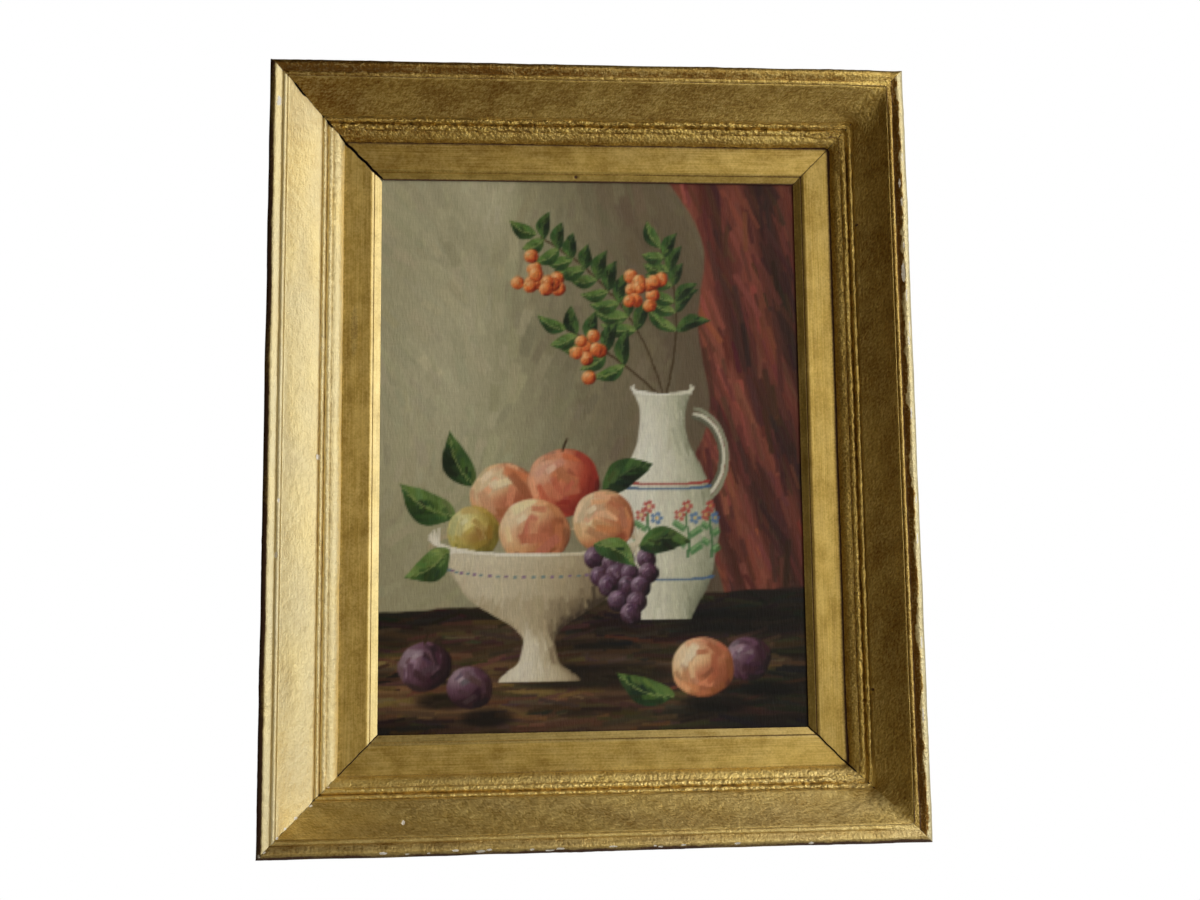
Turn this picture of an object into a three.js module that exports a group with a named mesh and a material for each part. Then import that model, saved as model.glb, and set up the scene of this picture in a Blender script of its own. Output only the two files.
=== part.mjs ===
// A framed oil painting: a deep picture frame of four mitred moulding rails, a mitred liner inside it, and a
// canvas on a mitred stretcher in the liner's rebate.
// Millimetres, +Z up. The picture faces -Y, and the flat back of the frame lies in the plane Y = 0.
// The origin is on the back of the top moulding rail, halfway along it and halfway across its flat back.
import * as THREE from "three";

// Overall sizes
const CANVAS_WIDTH = 270;
const CANVAS_HEIGHT = 350;
const LIP_COVER = 5; // how far the liner covers the canvas on each side
const SIGHT_INSET = 63; // from the outer edge of the frame to the liner's inner edge
const FRAME_WIDTH = CANVAS_WIDTH - 2 * LIP_COVER + 2 * SIGHT_INSET;
const FRAME_HEIGHT = CANVAS_HEIGHT - 2 * LIP_COVER + 2 * SIGHT_INSET;
const FRAME_DEPTH = 52;
const CLEARANCE = 0.3; // between pieces that touch
const ARC_STEPS = 7; // straight steps along each round stretch of a section

// Outer moulding. Insets are measured from the outer edge, heights from the flat back.
const OUTER_EDGE_RADIUS = 3.2;
const BAND_END = 7.5; // inner edge of the convex outer band
const BAND_FALL = 1.6; // how far the band has dropped at its inner edge
const BAND_SHOULDER = 5.2; // where the band starts to curve down
const OUTER_BEAD = { inset: 9.2, crest: 51.5, radius: 1.4 };
const SCOOP_START = { inset: 11.2, height: 49.8 };
const SCOOP_END = { inset: 28.3, height: 32.2 };
const SCOOP_SAG = 2.2; // how far the scoop's control point lies below its chord
const SMALL_BEAD = { inset: 29.9, crest: 31.3, radius: 1.2 };
const LARGE_BEAD = { inset: 33.1, crest: 28.7, radius: 1.8 };
const CUSHION_START = { inset: 35.3, height: 26.3 };
const CUSHION_END = { inset: 40.6, height: 21.1 };
const QUIRK_DEPTH = 0.7; // grooves between the beads
const LIP_UNDERSIDE = 20.2;
const REBATE_WALL = 34.5;

// Liner
const LINER_OUTER_INSET = REBATE_WALL + CLEARANCE;
const LINER_OUTER_HEIGHT = LIP_UNDERSIDE - CLEARANCE;
const LINER_FLAT = { inset: 57.2, height: 19.1 }; // inner edge of the wide flat
const LINER_FILLET = { inset: 58.5, height: 18.4 }; // inner edge of the small fillet beside the flat
const LINER_QUIRK = { inset: 58.8, height: 17.9 }; // bottom of the groove between the fillet and the bevel
const LINER_BEVEL = { inset: 59.2, height: 18.2 }; // top of the bevel
const LINER_LIP = { top: 15.7, underside: 14.9 };
const LINER_BACK = 8;
const CANVAS_ROOM = 1; // room beside the canvas in the liner's rebate

// Canvas and stretcher
const CANVAS_FRONT = LINER_LIP.underside - CLEARANCE;
const CANVAS_THICKNESS = 0.8;
const CANVAS_CORNER_RADIUS = 1.5;
const BAR_WIDTH = 38;
const BAR_THICKNESS = 13;
const BAR_EDGE_FLAT = 5; // flat along the outer edge, which alone touches the canvas
const BAR_BEVEL_FALL = 1.8;
const BAR_EDGE_RADIUS = 1;

// Width of the open joint at each corner: bottom left, top left, top right, bottom right.
// Shrinkage has opened some of them.
const MOULDING_JOINTS = [0.35, 0.5, 0.35, 0.35];
const LINER_JOINTS = [0.5, 1.4, 0.4, 1.1];
const STRETCHER_JOINTS = [0.3, 0.3, 0.3, 0.3];

const FINISHES = {
  moulding: new THREE.MeshStandardMaterial({ color: 0x8f7650, roughness: 0.5, metalness: 0.5 }),
  liner: new THREE.MeshStandardMaterial({ color: 0xa98b55, roughness: 0.45, metalness: 0.5 }),
  canvas: new THREE.MeshStandardMaterial({ color: 0x5d4a38, roughness: 0.6, metalness: 0 }),
  stretcher: new THREE.MeshStandardMaterial({ color: 0xb08d62, roughness: 0.8, metalness: 0 }),
};

// Adds the rise up an outer side and the rounded edge onto the front.
function addRoundedEdge(section, side, front, radius) {
  section.lineTo(side, front - radius);
  section.absarc(side + radius, front - radius, radius, Math.PI, Math.PI / 2, true);
}

// Adds a half-round bead to a section, from the groove on its outer side to the groove on its inner side.
function addBead(section, bead) {
  const centreHeight = bead.crest - bead.radius;
  const footAngle = Math.asin(QUIRK_DEPTH / bead.radius);
  section.absarc(bead.inset, centreHeight, bead.radius, Math.PI + footAngle, -footAngle, true);
}

// The outer moulding: rounded edge, convex band, bead, wide scoop, two beads, cushion, and the lip over
// the liner.
function mouldingSection() {
  const section = new THREE.Shape();
  section.moveTo(0, 0);
  addRoundedEdge(section, 0, FRAME_DEPTH, OUTER_EDGE_RADIUS);
  section.quadraticCurveTo(BAND_SHOULDER, FRAME_DEPTH, BAND_END, FRAME_DEPTH - BAND_FALL);
  addBead(section, OUTER_BEAD);
  section.lineTo(SCOOP_START.inset, SCOOP_START.height);
  section.quadraticCurveTo(
    (SCOOP_START.inset + SCOOP_END.inset - SCOOP_SAG) / 2,
    (SCOOP_START.height + SCOOP_END.height - SCOOP_SAG) / 2,
    SCOOP_END.inset,
    SCOOP_END.height,
  );
  addBead(section, SMALL_BEAD);
  addBead(section, LARGE_BEAD);
  section.lineTo(CUSHION_START.inset, CUSHION_START.height);
  section.quadraticCurveTo(
    CUSHION_END.inset - 1.4,
    CUSHION_START.height - 0.6,
    CUSHION_END.inset,
    CUSHION_END.height,
  );
  section.lineTo(CUSHION_END.inset, LIP_UNDERSIDE);
  section.lineTo(REBATE_WALL, LIP_UNDERSIDE);
  section.lineTo(REBATE_WALL, 0);
  section.closePath();
  return section;
}

// The liner: a wide flat, a fillet and groove, a bevel down to the thin lip over the canvas, and the
// rebate behind it.
function linerSection() {
  const rebateWall = SIGHT_INSET - LIP_COVER - CANVAS_ROOM;
  const section = new THREE.Shape();
  section.moveTo(LINER_OUTER_INSET, LINER_BACK);
  section.lineTo(LINER_OUTER_INSET, LINER_OUTER_HEIGHT);
  for (const corner of [LINER_FLAT, LINER_FILLET, LINER_QUIRK, LINER_BEVEL]) {
    section.lineTo(corner.inset, corner.height);
  }
  section.lineTo(SIGHT_INSET, LINER_LIP.top);
  section.lineTo(SIGHT_INSET, LINER_LIP.underside);
  section.lineTo(rebateWall, LINER_LIP.underside);
  section.lineTo(rebateWall, LINER_BACK);
  section.closePath();
  return section;
}

// A stretcher bar: flat back, and a front that falls away from the outer edge, so that only the edge
// touches the canvas.
function stretcherSection() {
  const outer = SIGHT_INSET - LIP_COVER + CANVAS_THICKNESS + CLEARANCE;
  const front = CANVAS_FRONT - CANVAS_THICKNESS - CLEARANCE;
  const back = front - BAR_THICKNESS;
  const section = new THREE.Shape();
  section.moveTo(outer, back);
  addRoundedEdge(section, outer, front, BAR_EDGE_RADIUS);
  section.lineTo(outer + BAR_EDGE_FLAT, front);
  section.lineTo(outer + BAR_WIDTH, front - BAR_BEVEL_FALL);
  section.lineTo(outer + BAR_WIDTH, back);
  section.closePath();
  return section;
}

// Draws a section out along the bottom of the frame, with both ends cut at 45 degrees.
// jointLow and jointHigh are the open joints at its -X and +X ends, measured square to the cut.
function mitredRail(section, halfLength, distance, jointLow, jointHigh) {
  const geometry = new THREE.ExtrudeGeometry(section, {
    depth: 1,
    bevelEnabled: false,
    curveSegments: ARC_STEPS,
  });
  const position = geometry.getAttribute("position");
  for (let i = 0; i < position.count; i += 1) {
    const inset = position.getX(i);
    const height = position.getY(i);
    const reach = halfLength - inset;
    const along =
      position.getZ(i) > 0.5 ? reach - jointHigh / Math.SQRT2 : jointLow / Math.SQRT2 - reach;
    position.setXYZ(i, along, -height, inset - distance);
  }
  geometry.computeVertexNormals();
  return geometry;
}

// Four rails of one section round the frame. Each is the bottom rail turned about the picture's centre.
function railSet(name, section, joints, material) {
  const set = new THREE.Group();
  ["bottom", "left", "top", "right"].forEach((side, index) => {
    const upright = index % 2 === 1;
    const halfLength = (upright ? FRAME_HEIGHT : FRAME_WIDTH) / 2;
    const distance = (upright ? FRAME_WIDTH : FRAME_HEIGHT) / 2;
    const jointLow = joints[index];
    const jointHigh = joints[(index + 3) % 4];
    const rail = new THREE.Mesh(mitredRail(section, halfLength, distance, jointLow, jointHigh), material);
    rail.name = `${name}_${side}`;
    rail.rotation.y = (index * Math.PI) / 2;
    set.add(rail);
  });
  return set;
}

// The canvas: one thin sheet with softly rounded corners.
function canvasSheet() {
  const halfWidth = CANVAS_WIDTH / 2;
  const halfHeight = CANVAS_HEIGHT / 2;
  const corners = [
    [halfWidth, halfHeight],
    [-halfWidth, halfHeight],
    [-halfWidth, -halfHeight],
    [halfWidth, -halfHeight],
  ];
  const outline = new THREE.Shape();
  corners.forEach(([x, z], index) => {
    const start = (index * Math.PI) / 2;
    const centreX = x - Math.sign(x) * CANVAS_CORNER_RADIUS;
    const centreZ = z - Math.sign(z) * CANVAS_CORNER_RADIUS;
    outline.absarc(centreX, centreZ, CANVAS_CORNER_RADIUS, start, start + Math.PI / 2, false);
  });
  outline.closePath();
  const geometry = new THREE.ExtrudeGeometry(outline, {
    depth: CANVAS_THICKNESS,
    bevelEnabled: false,
    curveSegments: ARC_STEPS,
  });
  const sheet = new THREE.Mesh(geometry, FINISHES.canvas);
  sheet.name = "canvas";
  sheet.rotation.x = Math.PI / 2;
  sheet.position.y = CANVAS_THICKNESS - CANVAS_FRONT;
  return sheet;
}

const painting = new THREE.Group();
painting.add(railSet("moulding_rail", mouldingSection(), MOULDING_JOINTS, FINISHES.moulding));
painting.add(railSet("liner_rail", linerSection(), LINER_JOINTS, FINISHES.liner));
painting.add(canvasSheet());
painting.add(railSet("stretcher_bar", stretcherSection(), STRETCHER_JOINTS, FINISHES.stretcher));
painting.position.z = REBATE_WALL / 2 - FRAME_HEIGHT / 2;

export default painting;
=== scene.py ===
"""A small framed oil painting: gilded moulding, gilded liner, and a still life on a stretched canvas.

Sizes inside the classes are millimetres, measured as on a framer's bench: an inset runs from the outer
edge of the frame towards its middle, and a height runs from the flat back towards the viewer. Blender's own
units are metres, +Z up, and the picture faces -Y.
"""

from __future__ import annotations

import logging
import math
from dataclasses import dataclass, field
from enum import Enum

import bpy
import numpy as np
from mathutils import Matrix, Vector


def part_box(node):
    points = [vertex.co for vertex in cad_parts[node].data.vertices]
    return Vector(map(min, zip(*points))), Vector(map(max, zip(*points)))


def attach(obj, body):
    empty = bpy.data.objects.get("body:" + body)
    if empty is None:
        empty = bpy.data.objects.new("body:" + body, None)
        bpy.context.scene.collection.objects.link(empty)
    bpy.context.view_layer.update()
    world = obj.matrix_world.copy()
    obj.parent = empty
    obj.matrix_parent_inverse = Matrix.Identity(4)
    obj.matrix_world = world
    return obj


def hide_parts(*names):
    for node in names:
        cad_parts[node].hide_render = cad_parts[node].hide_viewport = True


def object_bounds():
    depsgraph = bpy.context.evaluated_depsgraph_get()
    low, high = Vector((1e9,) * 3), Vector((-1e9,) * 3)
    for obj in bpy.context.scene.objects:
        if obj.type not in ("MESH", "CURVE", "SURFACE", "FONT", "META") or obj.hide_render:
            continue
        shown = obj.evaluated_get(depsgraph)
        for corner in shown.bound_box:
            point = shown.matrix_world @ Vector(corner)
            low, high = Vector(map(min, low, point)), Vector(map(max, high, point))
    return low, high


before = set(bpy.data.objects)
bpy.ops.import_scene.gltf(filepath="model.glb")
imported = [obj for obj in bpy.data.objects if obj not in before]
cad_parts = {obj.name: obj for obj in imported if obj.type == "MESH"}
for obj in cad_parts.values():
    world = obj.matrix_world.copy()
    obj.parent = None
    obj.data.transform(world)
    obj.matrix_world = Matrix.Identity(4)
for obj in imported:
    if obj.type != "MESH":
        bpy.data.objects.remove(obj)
CAD_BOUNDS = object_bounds()

LOG = logging.getLogger("framed_painting")
MM = 0.001
MIX_A = 6  # numbers of the colour sockets of a Mix node
MIX_B = 7
MIX_RESULT = 2


class Side(Enum):
    """The four rails. The value is the number of quarter turns from the bottom rail."""

    BOTTOM = 0
    LEFT = 1
    TOP = 2
    RIGHT = 3


class Corner(Enum):
    """The four mitres. Each is at the low end of the side with the same value."""

    BOTTOM_LEFT = 0
    TOP_LEFT = 1
    TOP_RIGHT = 2
    BOTTOM_RIGHT = 3


class Stretch(Enum):
    """The stretches of a rail's outline, from the outer side over the front to the back."""

    OUTER_WALL = 0
    ROUNDING = 1
    BAND = 2
    BEAD = 3
    SCOOP = 4
    SMALL_BEAD = 5
    LARGE_BEAD = 6
    CUSHION = 7
    FLAT = 8
    FILLET = 9
    BEVEL = 10
    LIP = 11
    HIDDEN = 12


def linear(colour: str | np.ndarray) -> np.ndarray:
    """Turns an sRGB colour to linear light.

    Args:
        colour: "#RRGGBB", or an array of sRGB values from 0 to 1.

    Returns:
        The linear values, three for a hex colour, otherwise in the array's own shape.
    """
    if isinstance(colour, str):
        colour = srgb(colour)
    return np.where(colour <= 0.04045, colour / 12.92, ((colour + 0.055) / 1.055) ** 2.4)


def srgb(code: str) -> np.ndarray:
    """Reads "#RRGGBB" as three values from 0 to 1."""
    return np.array([int(code[i : i + 2], 16) for i in (1, 3, 5)]) / 255


def smoothstep(low: float, high: float, value: np.ndarray) -> np.ndarray:
    """Rises smoothly from 0 at low to 1 at high."""
    share = np.clip((value - low) / (high - low), 0, 1)
    return share * share * (3 - 2 * share)


def spline_weights(share: np.ndarray) -> list[np.ndarray]:
    """Weights of the four neighbours of a cubic B-spline, for a place between the middle two."""
    rest = 1 - share
    return [
        rest**3 / 6,
        (3 * share**3 - 6 * share**2 + 4) / 6,
        (3 * rest**3 - 6 * rest**2 + 4) / 6,
        share**3 / 6,
    ]


def bumps(
    rng: np.random.Generator, u: np.ndarray, v: np.ndarray, cell_u: float, cell_v: float
) -> np.ndarray:
    """Smooth random heights over a surface.

    Args:
        rng: Seeded source of the random lattice.
        u: First coordinate of each point.
        v: Second coordinate of each point.
        cell_u: Length of one bump along u, in the same units.
        cell_v: Length of one bump along v.

    Returns:
        One height for each point, mostly between -1 and 1.
    """
    across, along = (u - u.min()) / cell_u, (v - v.min()) / cell_v
    column, row = np.floor(across).astype(int), np.floor(along).astype(int)
    lattice = rng.uniform(-1, 1, (column.max() + 4, row.max() + 4))
    total = np.zeros(np.broadcast(u, v).shape)
    for i, weight_u in enumerate(spline_weights(across - column)):
        for j, weight_v in enumerate(spline_weights(along - row)):
            total = total + weight_u * weight_v * lattice[column + i, row + j]
    return total * 2.2


def add_node(
    tree: bpy.types.NodeTree,
    kind: str,
    settings: dict[str, object] | None = None,
    inputs: dict[str | int, object] | None = None,
) -> bpy.types.Node:
    """Adds one node with its settings, input values and links.

    Args:
        tree: The node tree that it goes into.
        kind: Blender's class name of the node, without its leading ShaderNode.
        settings: The node's properties by name.
        inputs: By the input's name or number, a socket to link, a "#RRGGBB" colour or a plain value.

    Returns:
        The new node.
    """
    node = tree.nodes.new(f"ShaderNode{kind}")
    for name, value in (settings or {}).items():
        setattr(node, name, value)
    for key, value in (inputs or {}).items():
        if isinstance(value, bpy.types.NodeSocket):
            tree.links.new(value, node.inputs[key])
        elif isinstance(value, str):
            node.inputs[key].default_value = (*linear(value), 1.0)
        else:
            node.inputs[key].default_value = value
    return node


def new_material(name: str) -> bpy.types.Material:
    """Makes a material with an empty node tree."""
    material = bpy.data.materials.new(name)
    material.use_nodes = True
    material.node_tree.nodes.clear()
    return material


def vary(
    tree: bpy.types.NodeTree,
    colour: bpy.types.NodeSocket,
    pattern: bpy.types.NodeSocket,
    shades: tuple[float, float],
    span: tuple[float, float] = (0.0, 1.0),
) -> bpy.types.NodeSocket:
    """Makes a colour darker and lighter after a pattern.

    Args:
        tree: The material's node tree.
        colour: The colour.
        pattern: The pattern's values.
        shades: What the colour is multiplied by at the low and the high end of the pattern.
        span: The pattern's values at its two ends.

    Returns:
        The uneven colour.
    """
    ends_of_pattern = {"From Min": span[0], "From Max": span[1], "To Min": shades[0], "To Max": shades[1]}
    shade = add_node(tree, "MapRange", inputs={"Value": pattern, **ends_of_pattern})
    scale = {0: colour, "Scale": shade.outputs[0]}
    return add_node(tree, "VectorMath", {"operation": "SCALE"}, scale).outputs[0]


def close_material(
    tree: bpy.types.NodeTree,
    looks: dict[str, object],
    height: bpy.types.NodeSocket,
    relief: float,
    strength: float = 1.0,
) -> None:
    """Ends a material with its relief, its shader and its output.

    Args:
        tree: The material's node tree.
        looks: Inputs of the principled shader by name.
        height: Height of the surface.
        relief: What a height of 1 stands for, in mm.
        strength: How much of the relief shows.
    """
    bump = add_node(tree, "Bump", inputs={"Strength": strength, "Distance": relief * MM, "Height": height})
    shader = add_node(tree, "BsdfPrincipled", inputs={**looks, "Normal": bump.outputs[0]})
    add_node(tree, "OutputMaterial", inputs={"Surface": shader.outputs[0]})


# ---------------------------------------------------------------------------------------------- finishes


@dataclass(frozen=True)
class BronzePaint:
    """Bronze powder paint brushed over gesso on a wooden moulding.

    To the eye it is a soft, grainy metal: pale cream gold where it mirrors the light, deep brown where it
    doesn't, crumbly like sugar where it lies thick, with brush marks along the rail, brown dirt in the
    hollows and white gesso where it is chipped. Its masks also paint light and shade into the colour: pale
    cream as a painted highlight where a rail faces the light, brown as painted shade where it faces away.

    Attributes:
        name: Name of the material.
        fresh: Clean bronze colour.
        tarnished: Older, browner bronze.
        bloom: Pale chalky bronze, worn thin over the gesso, and laid as a painted highlight where a rail
            faces the light.
        dirt: Wax and dust in the hollows, also laid as painted shade on outer edges and beside the moulding.
        gesso: Chalk ground that shows in the chips.
        streak: Length and width of a brush mark along the rail, in mm.
        grain: Size of a grain in the paint, in mm.
        crumb: Size of a crumb where the paint lies thick, in mm.
        cloud: Size of a broad patch of another tone, in mm.
        roughness: Lowest and highest roughness.
        relief: Height in mm of the brush marks, of the grain and of the crumbs.
        varnish: Weight of the thin clear coat that whitens the highlights.
    """

    name: str
    fresh: str = "#EFD074"
    tarnished: str = "#8C6426"
    bloom: str = "#F2E4B4"
    dirt: str = "#583922"
    gesso: str = "#FFF8E8"
    streak: tuple[float, float] = (7.0, 1.1)
    grain: float = 1.5
    crumb: float = 1.9
    cloud: float = 14.0
    roughness: tuple[float, float] = (0.34, 0.52)
    relief: tuple[float, float, float] = (0.2, 0.8, 0.9)
    varnish: float = 0.2

    def build(self) -> bpy.types.Material:
        """Makes the material from the rail's own coordinates and its masks."""
        material = new_material(self.name)
        tree = material.node_tree
        place = add_node(tree, "Attribute", {"attribute_name": "bench"}).outputs["Vector"]
        masks = {
            name: add_node(tree, "Attribute", {"attribute_name": name}).outputs["Fac"]
            for name in ("tarnish", "bloom", "dirt", "chip", "grainy", "crumbly")
        }
        stretched = add_node(
            tree, "Mapping", inputs={"Vector": place, "Scale": (1 / self.streak[0], 1 / self.streak[1], 1)}
        )
        # Each row is the noise's coordinates, scale, detail and roughness.
        streaks, grains, clouds = (
            add_node(
                tree,
                "TexNoise",
                inputs={"Vector": vector, "Scale": scale, "Detail": detail, "Roughness": rough},
            )
            for vector, scale, detail, rough in (
                (stretched.outputs[0], 1.0, 3.0, 0.6),
                (place, 1 / self.grain, 3.0, 0.6),
                (place, 1 / self.cloud, 5.0, 0.65),
            )
        )
        strayed = add_node(
            tree,
            "VectorMath",
            {"operation": "MULTIPLY_ADD"},
            {0: grains.outputs["Color"], 1: (2.0, 2.0, 0.0), 2: place},
        )
        crumbs = add_node(
            tree, "TexVoronoi", {"feature": "F1"}, {"Vector": strayed.outputs[0], "Scale": 1 / self.crumb}
        )
        # Unevenness of the colour: specks, brush marks and clouds.
        specks, brushed, clouded = (
            add_node(
                tree,
                "MapRange",
                inputs={
                    "Value": noise.outputs["Fac"],
                    "From Min": low,
                    "From Max": 1 - low,
                    "To Min": dark,
                    "To Max": -dark,
                },
            )
            for noise, low, dark in ((grains, 0.35, 0.28), (streaks, 0.3, 0.14), (clouds, 0.3, -0.18))
        )
        speckled = add_node(
            tree,
            "Math",
            {"operation": "MULTIPLY_ADD"},
            {0: specks.outputs[0], 1: masks["grainy"], 2: brushed.outputs[0]},
        )
        uneven = add_node(
            tree, "Math", {"operation": "ADD"}, {0: speckled.outputs[0], 1: clouded.outputs[0]}
        )
        # The first mask browns the bronze with age and as painted shade, and freshens it as a painted
        # highlight.
        age = add_node(
            tree,
            "Math",
            {"operation": "ADD", "use_clamp": True},
            {0: masks["tarnish"], 1: uneven.outputs[0]},
        )
        bronze = add_node(
            tree,
            "Mix",
            {"data_type": "RGBA"},
            {0: age.outputs[0], MIX_A: self.fresh, MIX_B: self.tarnished},
        )
        # Pale cream is mixed in, partly as worn paint and partly as a painted highlight.
        thin = add_node(
            tree,
            "Math",
            {"operation": "MULTIPLY_ADD", "use_clamp": True},
            {0: uneven.outputs[0], 1: -0.5, 2: masks["bloom"]},
        )
        pale = add_node(
            tree,
            "Mix",
            {"data_type": "RGBA"},
            {0: thin.outputs[0], MIX_A: bronze.outputs[MIX_RESULT], MIX_B: self.bloom},
        )
        # Dirt lies in the hollows and in the creases between crumbs; the same mask lays painted shade on
        # outer edges and beside the moulding.
        creases = add_node(
            tree,
            "MapRange",
            inputs={"Value": crumbs.outputs["Distance"], "From Min": 0.5, "From Max": 1.0, "To Max": 0.5},
        )
        crumb_dirt = add_node(
            tree,
            "Math",
            {"operation": "MULTIPLY_ADD"},
            {0: creases.outputs[0], 1: masks["crumbly"], 2: masks["dirt"]},
        )
        ragged_dirt = add_node(
            tree,
            "Math",
            {"operation": "MULTIPLY_ADD"},
            {0: grains.outputs["Fac"], 1: -0.6, 2: crumb_dirt.outputs[0]},
        )
        dirt_share = add_node(
            tree, "MapRange", inputs={"Value": ragged_dirt.outputs[0], "From Min": -0.15, "From Max": 0.6}
        )
        soiled = add_node(
            tree,
            "Mix",
            {"data_type": "RGBA"},
            {0: dirt_share.outputs[0], MIX_A: pale.outputs[MIX_RESULT], MIX_B: self.dirt},
        )
        ragged_chip = add_node(
            tree,
            "Math",
            {"operation": "MULTIPLY_ADD"},
            {0: grains.outputs["Fac"], 1: 1.2, 2: masks["chip"]},
        )
        chip_share = add_node(
            tree, "MapRange", inputs={"Value": ragged_chip.outputs[0], "From Min": 0.98, "From Max": 1.12}
        )
        colour = add_node(
            tree,
            "Mix",
            {"data_type": "RGBA"},
            {0: chip_share.outputs[0], MIX_A: soiled.outputs[MIX_RESULT], MIX_B: self.gesso},
        )
        covered = add_node(
            tree,
            "Math",
            {"operation": "MULTIPLY_ADD"},
            {0: dirt_share.outputs[0], 1: 0.9, 2: chip_share.outputs[0]},
        )
        chalky = add_node(
            tree,
            "Math",
            {"operation": "MULTIPLY_ADD", "use_clamp": True},
            {0: thin.outputs[0], 1: 0.4, 2: covered.outputs[0]},
        )
        metal = add_node(
            tree, "MapRange", inputs={"Value": chalky.outputs[0], "To Min": 0.95, "To Max": 0.0}
        )
        polish = add_node(
            tree,
            "MapRange",
            inputs={
                "Value": grains.outputs["Fac"], "To Min": self.roughness[0], "To Max": self.roughness[1]
            },
        )
        dulled = add_node(
            tree,
            "Math",
            {"operation": "MULTIPLY_ADD", "use_clamp": True},
            {0: chalky.outputs[0], 1: 0.35, 2: polish.outputs[0]},
        )
        # Relief in mm: brush marks, grain and crumbs.
        brush_height, grain_height, crumb_height = (
            add_node(tree, "Math", {"operation": "MULTIPLY"}, {0: pattern, 1: relief})
            for pattern, relief in (
                (streaks.outputs["Fac"], self.relief[0]),
                (grains.outputs["Fac"], self.relief[1]),
                (crumbs.outputs["Distance"], -self.relief[2]),
            )
        )
        grainy_height = add_node(
            tree,
            "Math",
            {"operation": "MULTIPLY_ADD"},
            {0: grain_height.outputs[0], 1: masks["grainy"], 2: brush_height.outputs[0]},
        )
        height = add_node(
            tree,
            "Math",
            {"operation": "MULTIPLY_ADD"},
            {0: crumb_height.outputs[0], 1: masks["crumbly"], 2: grainy_height.outputs[0]},
        )
        looks = {
            "Base Color": colour.outputs[MIX_RESULT],
            "Metallic": metal.outputs[0],
            "Roughness": dulled.outputs[0],
            "Coat Weight": self.varnish,
            "Coat Roughness": 0.4,
        }
        close_material(tree, looks, height.outputs[0], relief=1.0)
        return material


@dataclass(frozen=True)
class OldPine:
    """Planed pine, darkened by a century of air.

    To the eye it is matt honey brown, with long fibres and darker latewood lines along the piece.

    Attributes:
        name: Name of the material.
        along: The axis that the grain follows, 0 for X and 2 for Z.
        earlywood: Pale wood between the growth rings.
        latewood: Dark lines of the growth rings.
        ring_width: Distance between the growth rings, in mm.
    """

    name: str
    along: int
    earlywood: str = "#B08A58"
    latewood: str = "#7C5630"
    ring_width: float = 3.2

    def build(self) -> bpy.types.Material:
        """Makes the material from object coordinates."""
        material = new_material(self.name)
        tree = material.node_tree
        place = add_node(tree, "TexCoord")
        scale = [1 / (self.ring_width * MM)] * 3
        scale[self.along] /= 40
        stretched = add_node(
            tree, "Mapping", inputs={"Vector": place.outputs["Object"], "Scale": tuple(scale)}
        )
        rings = add_node(
            tree,
            "TexNoise",
            inputs={"Vector": stretched.outputs[0], "Scale": 0.6, "Detail": 2.0, "Distortion": 0.4},
        )
        fibres = add_node(
            tree, "TexNoise", inputs={"Vector": stretched.outputs[0], "Scale": 5.0, "Detail": 3.0}
        )
        lines = add_node(
            tree, "MapRange", inputs={"Value": rings.outputs["Fac"], "From Min": 0.42, "From Max": 0.62}
        )
        wood = add_node(
            tree,
            "Mix",
            {"data_type": "RGBA"},
            {0: lines.outputs[0], MIX_A: self.earlywood, MIX_B: self.latewood},
        )
        worn = vary(tree, wood.outputs[MIX_RESULT], fibres.outputs["Fac"], (0.7, 1.2))
        polish = add_node(
            tree, "MapRange", inputs={"Value": fibres.outputs["Fac"], "To Min": 0.62, "To Max": 0.85}
        )
        looks = {"Base Color": worn, "Roughness": polish.outputs[0]}
        close_material(tree, looks, fibres.outputs["Fac"], relief=0.2, strength=0.6)
        return material


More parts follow.
